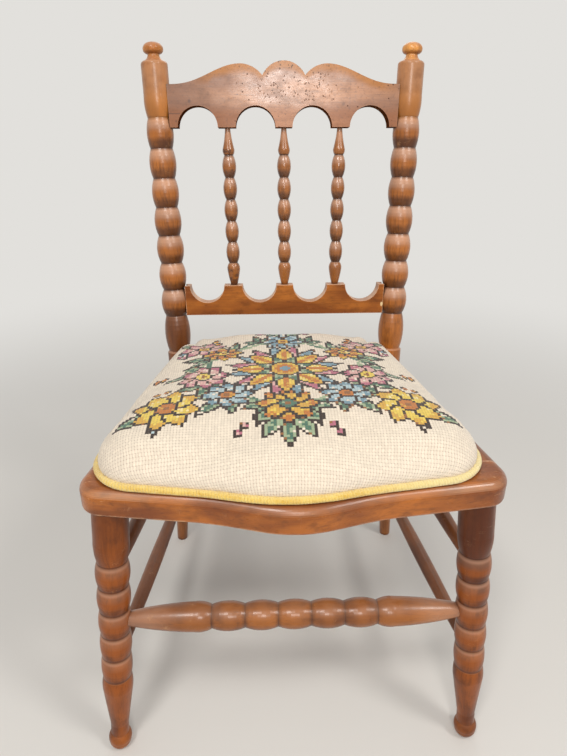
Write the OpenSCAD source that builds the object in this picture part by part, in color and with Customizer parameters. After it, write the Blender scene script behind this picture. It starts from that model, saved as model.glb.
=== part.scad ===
// Child-size chair with bead-turned posts, spindles and legs, scalloped back rails,
// a bow-fronted seat frame and a stuffed needlepoint pad.
// It stands on the plane z = 0 and faces -Y. Left and right are as seen from the front.
// Heights on the back are measured along its slope from the middle of the seat frame.

/* [Fits] */
// Clearance round each tenon, dowel and turned end in its hole
fit = 0.15; // [0.1:0.05:0.25]
// Free space at the bottom of each hole
hole_end = 0.6; // [0.4:0.1:1]
// Space between the layers of the upholstery
soft_gap = 0.3; // [0.2:0.05:0.4]

/* [Seat frame] */
// Height of the top of the seat frame
seat_h = 308; // [295:1:320]
// Thickness of the seat frame
frame_t = 24; // [22:1:27]
// Depth from the line of the front corners to the back edge
seat_depth = 270; // [260:1:280]
// Width between the points where the front and side edges would meet
front_w = 363.2; // [350:0.2:376]
// Width between the points where the back and side edges would meet
rear_w = 255.2; // [248:0.2:262]
// How far the middle of the front edge stands ahead of the corners
front_bow = 35.5; // [30:0.5:40]
// Radius of the bow
bow_r = 102; // [80:1:120]
// Sideways place of the hollow beside the bow
hollow_x = 68.6; // [64:0.2:74]
// How far the hollow stands ahead of the corners
hollow_y = 15.9; // [14:0.1:18]
// Radius of the hollow
hollow_r = 250; // [150:5:280]
// Radius of the front corners
corner_r = 22; // [16:1:26]
// Rounding of the upper edge
top_round = 9; // [6:0.5:11]
// Rounding of the lower edge
low_round = 2.5; // [1:0.5:4]
// Depth of the front board, from the line of the front corners to its straight back edge
front_board = 30; // [28:1:34]
// Width of the side boards at their front end
side_board_front = 41; // [38:1:44]
// Width of the side boards at their back end
side_board_rear = 29; // [27:1:31]
// Width of the back board
rear_board = 29; // [26:1:32]
// Radius of the dowels between the front board and the side boards
dowel_r = 3; // [2.5:0.25:3.5]
// Length of those dowels
dowel_len = 30; // [24:1:34]
// Distance of the outer dowel from the side board's outer edge
dowel_in = 8; // [7:0.5:9]
// Distance between the two dowels of a joint
dowel_gap = 28; // [26:0.5:28.5]
// Height of the tenons between the frame and the posts
frame_tenon_h = 6; // [5:0.5:6.5]
// Width of the tenons between the frame and the posts
frame_tenon_w = 13; // [11:0.5:14]
// How far those tenons reach past the post's face
frame_tenon_len = 10; // [8:0.5:11]

/* [Back posts] */
// Sideways distance of the post axes from the points where the back and side edges would meet
post_side_in = 3.15; // [2.5:0.05:4.5]
// Distance of the post axes from the back edge of the frame
post_in = 14.2; // [14:0.1:15]
// Backward lean of the back
rake = 7.7; // [5:0.1:10]
// Outward lean of each post
flare = 1.36; // [0.5:0.02:2]
// Length of a post above the middle of the seat frame
post_len = 327.2; // [300:0.2:350]
// Radius of the plain part of a post in the seat frame
post_r = 13.5; // [12.5:0.25:14]
// Radius of the bend of a post inside the seat frame
bend_r = 110; // [90:5:115]
// Height of the lowest cut above the seat frame
post_cut_h = 22.5; // [21:0.5:24]
// Largest radius of the barrel above that cut
barrel_r = 14.6; // [14:0.1:15.2]
// Height of the lowest groove between beads
post_groove_h = 64.5; // [60:0.5:66]
// Radius in the grooves of a post
post_groove_r = 11.6; // [10.5:0.1:12.5]
// Number of beads on a post
post_beads = 7; // [6:1:8]
// Length of a post above its highest groove
post_top_len = 53.4; // [50:0.2:58]
// Radius of the lowest bead on a post
post_bead_low_r = 15.25; // [14.5:0.05:15.5]
// Radius of the highest bead on a post
post_bead_high_r = 14; // [13.5:0.05:14.4]
// Radius of the plain top of a post
post_top_r = 13.6; // [13:0.1:14]
// Rounding of the shoulder under the finial
shoulder_r = 3.6; // [2:0.2:5]

/* [Rear legs] */
// How far each rear foot stands outside the bend of its leg
rear_splay = 26.15; // [20:0.05:32]
// How far the rear feet stand behind the bend
rear_foot_back = 42.9; // [36:0.1:50]
// Radius of a rear leg just above the floor
rear_foot_r = 7.3; // [6.5:0.1:8]

/* [Finials] */
// Radius of the knob
knob_r = 10.3; // [9:0.1:11.5]
// Height of the knob
knob_h = 11.6; // [10:0.1:13]
// Radius of the neck under the knob
finial_neck_r = 5.2; // [4.6:0.1:6]
// Radius of the finial's base
finial_base_r = 6.7; // [6:0.1:8]
// Height of the base and neck together
finial_neck_h = 6; // [5:0.2:8]
// Radius of the finial's tenon
finial_tenon_r = 4; // [3:0.25:4.5]
// Length of the finial's tenon
finial_tenon_len = 14; // [10:0.5:18]

/* [Crest rail] */
// Distance of the crest rail's lower edge below the tops of the posts
crest_down = 63.1; // [60:0.1:66]
// Thickness of the crest rail
crest_t = 16; // [14:0.5:18]
// Height of the crest rail beside the posts
crest_end_h = 40.9; // [39:0.1:44]
// Height of the crest rail at its two peaks
crest_peak_h = 59.8; // [56:0.1:62]
// Sideways place of the peaks
crest_peak_x = 44.6; // [42:0.2:47]
// Height of the crest rail at the dips beside the middle
crest_dip_h = 49; // [47:0.2:51]
// Sideways place of the dips
crest_dip_x = 22; // [20:0.2:24]
// Height of the crest rail in the middle
crest_mid_h = 62.5; // [60:0.1:65]
// Rounding of the peaks on the side of the dips
crest_swell = 2.8; // [1.5:0.1:3.5]
// Radius of the four arches
arch_r = 20.8; // [19:0.1:22]
// Distance of the outer arches and scallops from the outer spindles
outer_step = 30.5; // [29.5:0.1:31.5]
// Thickness of the tenons of both back rails
back_tenon_t = 8; // [6:0.5:9]
// Height of the crest rail's tenons
crest_tenon_h = 28; // [22:0.5:30]
// How far the tenons of both back rails reach into the posts
back_tenon_len = 11; // [8:0.5:12]

/* [Lower back rail] */
// Height of the lower back rail's lower edge
low_rail_low = 65.1; // [62:0.1:68]
// Height of the lower back rail itself
low_rail_h = 33.5; // [32:0.1:36]
// Thickness of the lower back rail
low_rail_t = 16; // [14:0.5:18]
// Radius of the four scallops
scallop_r = 19.2; // [18:0.1:20]
// Height of the lower back rail's tenons
low_tenon_h = 14; // [10:0.5:16]

/* [Spindles] */
// Distance between spindles at the crest rail
spindle_gap_top = 59.5; // [58:0.1:61]
// Distance between spindles at the lower back rail
spindle_gap_low = 57.5; // [56:0.1:59]
// Number of beads on a spindle
spindle_beads = 5; // [4:1:6]
// Radius of the beads on a spindle
spindle_bead_r = 7.5; // [6.8:0.1:8]
// Radius in the grooves of a spindle
spindle_neck_r = 4.8; // [4.2:0.1:5.4]
// Length of the drop at the top of a spindle
drop_len = 27; // [24:0.5:30]
// Largest radius of that drop
drop_r = 6.3; // [5.6:0.1:7]
// Length of the cone at the bottom of a spindle
cone_len = 25; // [22:0.5:28]
// Radius of a spindle's upper tenon
spindle_top_r = 2.75; // [2.5:0.05:3.2]
// Radius of a spindle's lower tenon
spindle_low_r = 3.6; // [3:0.1:4.2]
// Length of a spindle's tenons
spindle_tenon_len = 10; // [7:0.5:12]

/* [Front legs] */
// Sideways distance of the leg axes from the points where the front and side edges would meet
front_leg_in = 29.1; // [28.2:0.1:30.4]
// How far each front foot stands outside the top of its leg
front_splay = 22.8; // [16:0.1:30]
// How far the leg axes stand behind the front corners at the top of the seat frame
front_leg_back = 14.6; // [13.5:0.1:15.5]
// How far the front feet stand ahead of the front corners
front_foot_ahead = 6.8; // [2:0.1:12]
// Radius of the ball foot
ball_r = 10.8; // [10.4:0.1:11.6]
// Height of the middle of the ball foot
ball_h = 9.6; // [8.6:0.1:9.8]
// Radius of the ankle above the ball foot
ankle_r = 8.7; // [8:0.1:9.4]
// Height of the cut between ball foot and ankle
ankle_h = 19.5; // [18.5:0.5:21]
// Height at which the straight ankle ends
ankle_top_h = 32.7; // [28:0.1:38]
// Height of the fullest part of the calf
calf_h = 82; // [74:0.5:86]
// Radius of the fullest part of the calf
calf_r = 14.2; // [13.4:0.1:15]
// Height of the lowest groove of a front leg
leg_groove_h = 96.4; // [92:0.2:100]
// Radius in the grooves of a front leg
leg_groove_r = 13; // [12:0.1:13.6]
// Number of beads on a front leg
leg_beads = 5; // [4:1:5]
// Length of a bead on a front leg
leg_bead_len = 26.7; // [26:0.1:28]
// Radius of the lowest bead of a front leg
leg_bead_low_r = 14.25; // [13.8:0.05:14.8]
// Radius of the highest bead of a front leg
leg_bead_high_r = 15.1; // [14.6:0.05:15.6]
// Radius of a front leg under the seat frame
leg_top_r = 15.3; // [14.5:0.1:16]
// Radius of a front leg's tenon
leg_tenon_r = 8; // [6.5:0.25:8.5]
// Length of a front leg's tenon
leg_tenon_len = 17; // [12:0.5:17.5]

/* [Stretchers] */
// Height of the front stretcher
front_stretcher_h = 162; // [154:0.5:170]
// Number of beads on the front stretcher
stretcher_beads = 5; // [5:2:5]
// Length of a bead on the front stretcher
stretcher_bead_len = 30.1; // [28:0.1:32]
// Radius of the beads on the front stretcher
stretcher_bead_r = 13.2; // [12.4:0.1:14]
// Radius in the grooves of the front stretcher
stretcher_groove_r = 10.5; // [9.5:0.1:11.5]
// Distance from the outer grooves to the fullest part of the end vases
vase_swell = 15.8; // [13:0.2:18]
// Length of the straight ends of the front stretcher
stretcher_tip_len = 9.3; // [8:0.1:12]
// Radius of the straight ends of the front stretcher
stretcher_tip_r = 6.75; // [6:0.05:7.2]
// Height of the upper side stretchers on the front legs
upper_front_h = 212; // [204:0.5:220]
// Height of the upper side stretchers on the rear legs
upper_rear_h = 205; // [198:0.5:212]
// Height of the lower side stretchers on the front legs
lower_front_h = 113.7; // [106:0.1:122]
// Height of the lower side stretchers on the rear legs
lower_rear_h = 92; // [86:0.5:100]
// Height of the rear stretcher
rear_stretcher_h = 150; // [140:1:160]
// Radius of the plain stretchers in the middle
plain_mid_r = 7.8; // [7:0.1:8.6]
// Radius of the plain stretchers at their ends
plain_tip_r = 5.6; // [5:0.1:6]
// Length of the straight ends of the plain stretchers
plain_tip_len = 14; // [10:0.5:18]
// Distance at which a stretcher's end stops from the axis of a front leg
front_stop = 5; // [4:0.5:6]
// Distance at which a stretcher's end stops from the axis of a rear leg
rear_stop = 2.5; // [2:0.5:3]

/* [Pad] */
// Height of the pad at its shoulders above the seat frame
pad_h = 36; // [30:0.5:40]
// Rise of the pad's middle above its shoulders
pad_crown = 4; // [2:0.5:8]
// Width of the rounding from the pad's foot to its shoulder
pad_roll = 34; // [28:1:38]
// Margin of bare frame in the middle of the front, up to the pad's foot
pad_front_in = 11.6; // [10:0.2:14]
// Margin at the hollows of the front
pad_hollow_in = 7.1; // [6.5:0.1:9]
// Sideways margin at the front corners
pad_corner_in = 16.6; // [14:0.2:19]
// Backward margin at the front corners
pad_corner_back = 8.1; // [7:0.1:10]
// Sideways margin beside the posts
pad_side_in = 14.5; // [13:0.1:16]
// Margin at the back edge
pad_rear_in = 15.2; // [14:0.2:18]
// Distance of the pad's notch from the post axis, sideways and forwards
notch_in = 20; // [19.5:0.25:22]
// Radius of the pad's front corners
pad_corner_r = 37; // [30:1:42]
// Thickness of the needlepoint cover
cover_t = 1.8; // [1.4:0.1:2.4]
// Radius of the welt
welt_r = 2.6; // [2:0.1:2.8]
// Thickness of the canvas under the stuffing
canvas_t = 0.8; // [0.6:0.1:1.2]
// Thickness of the webbing
web_t = 1.1; // [0.9:0.1:1.4]
// Width of the webbing
web_w = 40; // [34:1:44]
// Distance between the strips of webbing
web_pitch = 62; // [56:1:66]
// Number of strips of webbing each way
web_count = 3; // [3:2:3]
// Distance of the webbing's ends from the frame's outer edge
web_end_in = 19; // [18.5:0.5:22]

/* [Hidden] */

// Colours
frame_colour = [0.36, 0.15, 0.08];
back_colour = [0.50, 0.25, 0.12];
leg_colour = [0.40, 0.17, 0.09];
bead_colour = [0.56, 0.30, 0.15];
wool_colour = [0.86, 0.80, 0.68];
welt_colour = [0.83, 0.66, 0.20];
linen_colour = [0.62, 0.54, 0.40];
jute_colour = [0.52, 0.42, 0.28];
dowel_colour = [0.75, 0.60, 0.40];

// Fineness of the curves
round_fn = 72;
arc_steps = 8;
board_sag = 0.03;
pad_sag = 0.12;

// Sides, and the length of a block that cuts everything beyond a plane
left = -1;
right = 1;
far = 700;

// Spin of each turning about its axis, which keeps its seam beside the cuts and holes made in it
spin = 37;

// Lap of a post's bend into its straight ends, in degrees, and how much thinner it is there.
// The boards of the frame are cut round the post by a bend that runs further at both ends.
bend_lap = 1;
bend_slack = 0.03;
cope_lap = 10;

// Heights and places on the seat frame, before the chair is centred on its box
frame_low = seat_h - frame_t;
frame_mid = seat_h - frame_t / 2;
corner_y = seat_depth / 2;
post_x = rear_w / 2 - post_side_in;
post_y = corner_y - post_in;
board_y = front_board - corner_y;
rear_board_y = corner_y - rear_board;
side_lean = atan((front_w - rear_w) / 2 / seat_depth);
front_leg_x = front_w / 2 - front_leg_in;

// The chair reaches from the rounded bow in front to the edge of the posts' shoulders behind,
// and is moved so that its middle lies at y = 0
bow_slope = atan((front_bow - hollow_y) / hollow_x);
bow_y = corner_y + front_bow - bow_r * (1 / cos(bow_slope) - 1);
post_lean_y = cos(flare) * sin(rake);
shoulder_y = post_y + (post_len - shoulder_r) * post_lean_y + post_top_r * sqrt(1 - pow(post_lean_y, 2));
shift_y = (bow_y - shoulder_y) / 2;

// Places along the back, and the distance from the middle at which its rails meet the posts
top_groove_h = post_len - post_top_len;
post_bead_len = (top_groove_h - post_groove_h) / post_beads;
low_rail_top = low_rail_low + low_rail_h;
crest_low = post_len - crest_down;
crest_face = post_x + (crest_low + crest_end_h / 2) * sin(flare) - post_top_r;
low_face = post_x + (low_rail_low + low_rail_h / 2) * sin(flare) - post_bead_low_r;
crest_steps = 16;

// How far the back board reaches round the posts, half the space between the two tenons in a post,
// how deep a tenon's root runs into its own board, and how far a cutter runs past a back rail's edges
board_wrap = 3;
tenon_apart = 1.5;
tenon_root = 12;
back_tenon_root = 4;
cope_over = 10;
rear_board_end = post_x - post_r + board_wrap;

// Length over which a turning swells again past its last groove, and how far below the middle of
// the seat frame a rear leg reaches its full thickness
neck_rise = 22;
rear_leg_full = 30;

// Narrowing of a rear leg at its foot, and the height over which it goes on
rear_foot_taper = 0.8;
rear_foot_edge = 2;

// Cove of a finial's neck, and shares of the knob's height and radius at its waist, widest place,
// edge and tip
neck_cove = 1.5;
knob_waist = 0.72;
knob_full_at = 0.42;
knob_edge_at = 0.86;
knob_edge = 0.6;
knob_tip = 0.08;

// Distance of the fullest place of a spindle's cone and drop from the groove beside it
cone_full = 8;
drop_full = 6;

// Length of a front leg up to the underside of the seat frame
leg_top = frame_low / seat_h * norm(front_top(right) - front_foot(right));

// Layers of the upholstery
rebate_low = seat_h - 2 * web_t - 2 * soft_gap;
canvas_low = seat_h + soft_gap;
stuffing_low = canvas_low + canvas_t + soft_gap;
pad_centre = [0, -17];
rebate_in = 3;
pad_bow_wider = 68;
pad_hollow_back = 8;
pad_rear_r = 5;
notch_r = 8;
web_slack = 2;
web_front_lap = 25;
welt_sides = 8;

// Rings of the cover's outside, of its lining and of the stuffing: steps over the pad's rounding, then
// the rings within the shoulder as shares of it
cover_steps = 6;
cover_shares = [0.75, 0.5, 0.25];
stuffing_steps = 4;
lining_shares = [0.5, 0.2];
stuffing_shares = [0.6, 0.2];

// Points on the axes, side being left or right
function kink(side) = [side * post_x, post_y, frame_mid];
function rear_foot(side) = [side * (post_x + rear_splay), post_y + rear_foot_back, 0];
function front_top(side) = [side * front_leg_x, front_leg_back - corner_y, seat_h];
function front_foot(side) = [side * (front_leg_x + front_splay), -front_foot_ahead - corner_y, 0];
function on_front_leg(side, h) = front_foot(side) + (front_top(side) - front_foot(side)) * h / seat_h;
function on_rear_leg(side, h) = rear_foot(side) + (kink(side) - rear_foot(side)) * h / frame_mid;
function on_back(x, h) = [x, post_y + h * sin(rake), frame_mid + h * cos(rake)];
function side_x(y) = front_w / 2 - (y + corner_y) * tan(side_lean);
function side_board_in(y) = side_x(y) - (y < 0 ? side_board_front : side_board_rear);

// The directions in which a post leaves its bend, up and down, and what follows from them
function post_up(side) = [side * sin(flare), cos(flare) * sin(rake), cos(flare) * cos(rake)];
function post_down(side) = (rear_foot(side) - kink(side)) / norm(rear_foot(side) - kink(side));
function bend_angle(side) = acos(-post_up(side) * post_down(side));
function bend_reach(side) = bend_r * tan(bend_angle(side) / 2);

// Points of an arc from p to q, without p, that bulges by h to the right of the way from p to q
function bow(p, q, h) = h == 0 ? [q] :
    let(c = norm(q - p), u = (q - p) / c, v = [u.y, -u.x], g = 2 * atan(2 * h / c), r = c / 2 / sin(g))
    [for (i = [1:arc_steps]) let(a = g * (2 * i / arc_steps - 1))
        (p + q) / 2 + u * r * sin(a) + v * r * (cos(a) - cos(g))];

// Half section of a turning, from stations of [place along the axis, radius, bulge on the way there]
function half_section(st) = concat([[0, st[0][0]], [st[0][1], st[0][0]]],
    [for (i = [1:len(st) - 1]) each bow([st[i - 1][1], st[i - 1][0]], [st[i][1], st[i][0]], st[i][2])],
    [[0, st[len(st) - 1][0]]]);

// Stations of a row of beads that starts at a groove at s
function beads(s, len, n, groove_r, low_r, high_r) = [for (i = [1:n])
    [s + i * len, groove_r, low_r + (high_r - low_r) * (i - 1) / max(n - 1, 1) - groove_r]];

// Bulge of a quarter circle of radius r
function quarter(r) = r * (1 - sqrt(0.5));

// An arc of radius r that rounds the corner b between a and c, as [point, outward direction] pairs.
// Its chords leave the arc by no more than sag.
function round_corner(a, b, c, r, sag) =
    let(u = (a - b) / norm(a - b), w = (c - b) / norm(c - b), half = acos(u * w) / 2,
        m = b + (u + w) / norm(u + w) * r / sin(half),
        start = b + u * r / tan(half) - m, end = b + w * r / tan(half) - m,
        a0 = atan2(start.y, start.x), turn = (atan2(end.y, end.x) - a0 + 540) % 360 - 180,
        n = max(2, ceil(abs(turn) / 2 / acos(1 - sag / r))), out = turn > 0 ? 1 : -1)
    [for (i = [0:n]) let(d = [cos(a0 + turn * i / n), sin(a0 + turn * i / n)]) [m + r * d, out * d]];

// The same round the inner corners of an open path of [x, y, radius], and round all corners of a closed one
function rounded_open(path, sag) = let(at = [for (v = path) [v.x, v.y]])
    [for (i = [1:len(path) - 2]) each round_corner(at[i - 1], at[i], at[i + 1], path[i][2], sag)];
function rounded(path, sag) = let(n = len(path)) rounded_open([path[n - 1], each path, path[0]], sag);

// A half path on the right, which starts in the middle, and its mirror image on the left
function mirrored(half) = [for (i = [len(half) - 1:-1:1]) [-half[i].x, half[i].y, half[i][2]]];

// Faces of a solid of k rings of n points each, from the lowest ring to the highest
function ring_faces(n, k) = concat([[for (i = [0:n - 1]) i]], [[for (i = [n - 1:-1:0]) (k - 1) * n + i]],
    band_faces(n, k));
function band_faces(n, k) = [for (j = [0:k - 2]) for (i = [0:n - 1]) let(e = (i + 1) % n)
    each [[j * n + i, (j + 1) * n + i, (j + 1) * n + e], [j * n + i, (j + 1) * n + e, j * n + e]]];

// Section of the frame's outer edge, from below, as [inset, height]
frame_edge = concat(
    [for (i = [0:3]) let(a = i * 30) [low_round * (1 - sin(a)), frame_low + low_round * (1 - cos(a))]],
    [for (i = [0:10]) let(a = i * 9) [top_round * (1 - cos(a)), seat_h - top_round * (1 - sin(a))]]);

module placed() {
    translate([0, shift_y, 0]) children();
}

module along(a, b) {
    translate(a) rotate([0, acos((b - a).z / norm(b - a)), atan2((b - a).y, (b - a).x)])
        rotate([0, 0, spin]) children();
}

module in_back() {
    translate([0, post_y, frame_mid]) rotate([-rake, 0, 0]) children();
}

module on_post(side) {
    in_back() translate([side * post_x, 0, 0]) rotate([0, side * flare, 0]) rotate([0, 0, spin]) children();
}

module turned(stations) {
    rotate_extrude($fn = round_fn) polygon(half_section(stations));
}

module rod(r, from, to) {
    translate([0, 0, from]) cylinder(r = r, h = to - from, $fn = round_fn);
}

module box(from, to) {
    translate(from) cube(to - from);
}

module edged_board(path) {
    n = len(path);
    points = [for (e = frame_edge) for (p = path) [p[0].x - p[1].x * e[0], p[0].y - p[1].y * e[0], e[1]]];
    polyhedron(points, ring_faces(n, len(frame_edge)), convexity = 4);
}

// The bent middle of a post, of radius r, which runs on by lap degrees at both ends
module bend(side, r, lap) {
    up = post_up(side);
    down = post_down(side);
    angle = bend_angle(side);
    middle = kink(side) + (up + down) / norm(up + down) * bend_r / cos(angle / 2);
    x = (kink(side) + down * bend_reach(side) - middle) / bend_r;
    z = cross(x, kink(side) + up * bend_reach(side) - middle) / bend_r / sin(angle);
    y = cross(z, x);
    multmatrix([[x.x, y.x, z.x, middle.x], [x.y, y.y, z.y, middle.y],
        [x.z, y.z, z.z, middle.z], [0, 0, 0, 1]])
        rotate([0, 0, -lap]) rotate_extrude(angle = angle + 2 * lap, $fn = 4 * round_fn)
            translate([bend_r, 0]) circle(r = r, $fn = round_fn);
}

// Tenons at the frame's back corners, grown by a clearance: the side board's above, the back board's below
module side_tenon(side, grow, longer) {
    w = frame_tenon_w / 2 + grow;
    y = post_y - post_r;
    low = frame_mid + tenon_apart;
    box([side * post_x - w, y - tenon_root, low - grow],
        [side * post_x + w, y + frame_tenon_len + longer, low + frame_tenon_h + grow]);
}

module rear_tenon(side, grow, longer) {
    w = frame_tenon_w / 2 + grow;
    x = post_x - post_r;
    high = frame_mid - tenon_apart;
    mirror([side == left ? 1 : 0, 0, 0])
        box([x - tenon_root, post_y - w, high - frame_tenon_h - grow],
            [x + frame_tenon_len + longer, post_y + w, high + grow]);
}

module dowel_at(side, k, r, half) {
    x = side_x(board_y) - dowel_in - k * dowel_gap;
    translate([side * x, board_y, frame_mid]) rotate([90, 0, 0]) rod(r, -half, half);
}

module rebate() {
    translate([0, 0, rebate_low]) linear_extrude(frame_t) polygon(pad_ring(rebate_in));
}

// The seat frame

module front_rail() {
    half = [[0, -corner_y - front_bow, bow_r], [hollow_x, -corner_y - hollow_y, hollow_r],
        [front_w / 2, -corner_y, corner_r], [rear_w / 2, corner_y, 0]];
    back_end = side_x(board_y);
    slant = 1 / cos(side_lean);
    ends = [[[back_end, board_y], [slant, 0]], [[-back_end, board_y], [-slant, 0]]];
    color(frame_colour) placed() difference() {
        edged_board(concat(rounded_open(concat(mirrored(half), half), board_sag), ends));
        rebate();
        for (side = [left, right]) {
            on_leg(side) rod(leg_tenon_r + fit, leg_top - 20, leg_top + leg_tenon_len + hole_end);
            for (k = [0, 1]) dowel_at(side, k, dowel_r + fit, dowel_len / 2 + hole_end);
        }
    }
}

module side_rail(side) {
    back_end = post_y - post_r / 2;
    slant = 1 / cos(side_lean);
    inner_slope = (side_board_in(board_y) - side_board_in(rear_board_y)) / (rear_board_y - board_y);
    inner_back = side_board_in(board_y) - inner_slope * (back_end - board_y);
    path = [[[side_x(board_y), board_y], [slant, 0]], [[side_x(back_end), back_end], [slant, 0]],
        [[inner_back, back_end], [0, 0]], [[side_board_in(board_y), board_y], [0, 0]]];
    color(frame_colour) placed() {
        difference() {
            mirror([side == left ? 1 : 0, 0, 0]) edged_board(path);
            rebate();
            bend(side, post_r + fit, cope_lap);
            for (k = [0, 1]) dowel_at(side, k, dowel_r + fit, dowel_len / 2 + hole_end);
            mirror([side == left ? 1 : 0, 0, 0])
                box([0, rear_board_y, frame_low - 1], [rear_board_end, corner_y, seat_h + 1]);
        }
        side_tenon(side, 0, 0);
    }
}

module left_rail() {
    side_rail(left);
}

module right_rail() {
    side_rail(right);
}

module rear_rail() {
    path = [[[rear_board_end, rear_board_y], [0, 0]], [[rear_board_end, corner_y], [0, 1]],
        [[-rear_board_end, corner_y], [0, 1]], [[-rear_board_end, rear_board_y], [0, 0]]];
    color(frame_colour) placed() {
        difference() {
            edged_board(path);
            rebate();
            for (side = [left, right]) bend(side, post_r + fit, cope_lap);
        }
        for (side = [left, right]) rear_tenon(side, 0, 0);
    }
}

module frame_dowels() {
    color(dowel_colour) placed() for (side = [left, right]) for (k = [0, 1])
        dowel_at(side, k, dowel_r, dowel_len / 2);
}

// The back

module post(side) {
    reach = bend_reach(side);
    upper = concat([[reach, post_r, 0], [post_cut_h - 2, post_r, 0], [post_cut_h, post_groove_r, 0],
        [post_groove_h, post_groove_r, barrel_r - post_groove_r]],
        beads(post_groove_h, post_bead_len, post_beads, post_groove_r, post_bead_low_r, post_bead_high_r),
        [[top_groove_h + neck_rise, post_top_r, 1], [post_len - shoulder_r, post_top_r, 0],
        [post_len, post_top_r - shoulder_r, quarter(shoulder_r)]]);
    leg_len = norm(kink(side) - rear_foot(side));
    lower = [[-rear_foot_edge, rear_foot_r - rear_foot_taper, 0], [rear_foot_edge, rear_foot_r, 0.1],
        [leg_len - rear_leg_full, post_r, 0], [leg_len - reach, post_r, 0]];
    color(back_colour) placed() difference() {
        union() {
            on_post(side) turned(upper);
            bend(side, post_r - bend_slack, bend_lap);
            intersection() {
                along(rear_foot(side), kink(side)) turned(lower);
                box([-far, -far, 0], [far, far, seat_h]);
            }
        }
        on_post(side) rod(finial_tenon_r + fit, post_len - finial_tenon_len - hole_end, post_len + 1);
        side_tenon(side, fit, hole_end);
        rear_tenon(side, fit, hole_end);
        in_back() crest_tenon(side, fit, hole_end);
        in_back() low_tenon(side, fit, hole_end);
        side_stretcher_holes(side, false);
        stretcher_hole(on_rear_leg(side, rear_stretcher_h), on_rear_leg(-side, rear_stretcher_h),
            rear_stop, plain_tip_r);
    }
}

module left_post() {
    post(left);
}

module right_post() {
    post(right);
}

module finial(side) {
    knob = post_len + finial_neck_h;
    color(bead_colour) placed() on_post(side) turned([[post_len - finial_tenon_len, finial_tenon_r, 0],
        [post_len, finial_tenon_r, 0], [post_len, finial_base_r, 0],
        [knob - neck_cove, finial_neck_r, -0.4], [knob, finial_neck_r, 0], [knob, knob_waist * knob_r, 0],
        [knob + knob_full_at * knob_h, knob_r, 0.9], [knob + knob_edge_at * knob_h, knob_edge * knob_r, 1.4],
        [knob + knob_h, knob_tip * knob_r, 0.4]]);
}

module left_finial() {
    finial(left);
}

module right_finial() {
    finial(right);
}

// Tenon of a rail of the back, in the plane of the back
module back_tenon(side, face, low, h, grow, longer) {
    mirror([side == left ? 1 : 0, 0, 0]) box([face - back_tenon_root, -back_tenon_t / 2 - grow, low - grow],
        [face + back_tenon_len + longer, back_tenon_t / 2 + grow, low + h + grow]);
}

module crest_tenon(side, grow, longer) {
    back_tenon(side, crest_face, crest_low + (crest_end_h - crest_tenon_h) / 2, crest_tenon_h, grow, longer);
}

module low_tenon(side, grow, longer) {
    back_tenon(side, low_face, low_rail_low + (low_rail_h - low_tenon_h) / 2, low_tenon_h, grow, longer);
}

// A board that stands in the plane of the back, from a drawing of [sideways, along the back]
module back_board(t) {
    rotate([90, 0, 0]) linear_extrude(t, center = true) children();
}

// Middles of the four arches or scallops, between spindles that stand gap apart
function arch_places(gap) = [-gap - outer_step, -gap / 2, gap / 2, gap + outer_step];

module crest_drawing() {
    fall = crest_face - crest_peak_x;
    slope = [for (i = [0:crest_steps]) let(t = i / crest_steps, lift = pow((1 - cos(180 * t)) / 2, 1.25))
        [crest_face - fall * t, crest_end_h + (crest_peak_h - crest_end_h) * lift]];
    right_half = concat([[crest_face + 8, 0], [crest_face + 8, crest_end_h]], slope,
        bow([crest_peak_x, crest_peak_h], [crest_dip_x, crest_dip_h], crest_swell));
    hump = [for (i = [1:crest_steps - 1]) hump_point(2 * i / crest_steps - 1)];
    left_half = [for (i = [len(right_half) - 1:-1:0]) [-right_half[i].x, right_half[i].y]];
    translate([0, crest_low]) difference() {
        polygon(concat(right_half, hump, left_half));
        for (x = arch_places(spindle_gap_top)) translate([x, 0]) circle(r = arch_r, $fn = round_fn);
    }
}

// Points of the middle hump, from the right dip at -1 to the left dip at 1
function hump_point(t) = let(rise = crest_mid_h - crest_dip_h, half = 2 * atan(rise / crest_dip_x),
    r = crest_dip_x / sin(half)) [-r * sin(half * t), crest_mid_h - r + r * cos(half * t)];

module crest_rail() {
    color(back_colour) placed() difference() {
        union() {
            difference() {
                in_back() back_board(crest_t) crest_drawing();
                for (side = [left, right]) on_post(side) rod(max(post_bead_high_r, post_top_r) + fit,
                    crest_low - cope_over, crest_low + crest_end_h + cope_over);
            }
            for (side = [left, right]) in_back() crest_tenon(side, 0, 0);
        }
        for (k = [-1:1]) on_spindle(k)
            rod(spindle_top_r + fit, spindle_len(k) - 1, spindle_len(k) + spindle_tenon_len + hole_end);
    }
}

module lower_back_rail() {
    color(back_colour) placed() difference() {
        union() {
            difference() {
                in_back() back_board(low_rail_t) difference() {
                    translate([-low_face - 8, low_rail_low]) square([2 * low_face + 16, low_rail_h]);
                    for (x = arch_places(spindle_gap_low)) translate([x, low_rail_top])
                        circle(r = scallop_r, $fn = round_fn);
                }
                for (side = [left, right]) on_post(side)
                    rod(post_bead_low_r + fit, low_rail_low - cope_over, low_rail_top + cope_over);
            }
            for (side = [left, right]) in_back() low_tenon(side, 0, 0);
        }
        for (k = [-1:1]) on_spindle(k) rod(spindle_low_r + fit, -spindle_tenon_len - hole_end, 1);
    }
}

// Spindles are counted from the left: -1, 0 and 1
function spindle_foot(k) = on_back(k * spindle_gap_low, low_rail_top);
function spindle_head(k) = on_back(k * spindle_gap_top, crest_low);
function spindle_len(k) = norm(spindle_head(k) - spindle_foot(k));

module on_spindle(k) {
    along(spindle_foot(k), spindle_head(k)) children();
}

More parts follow.
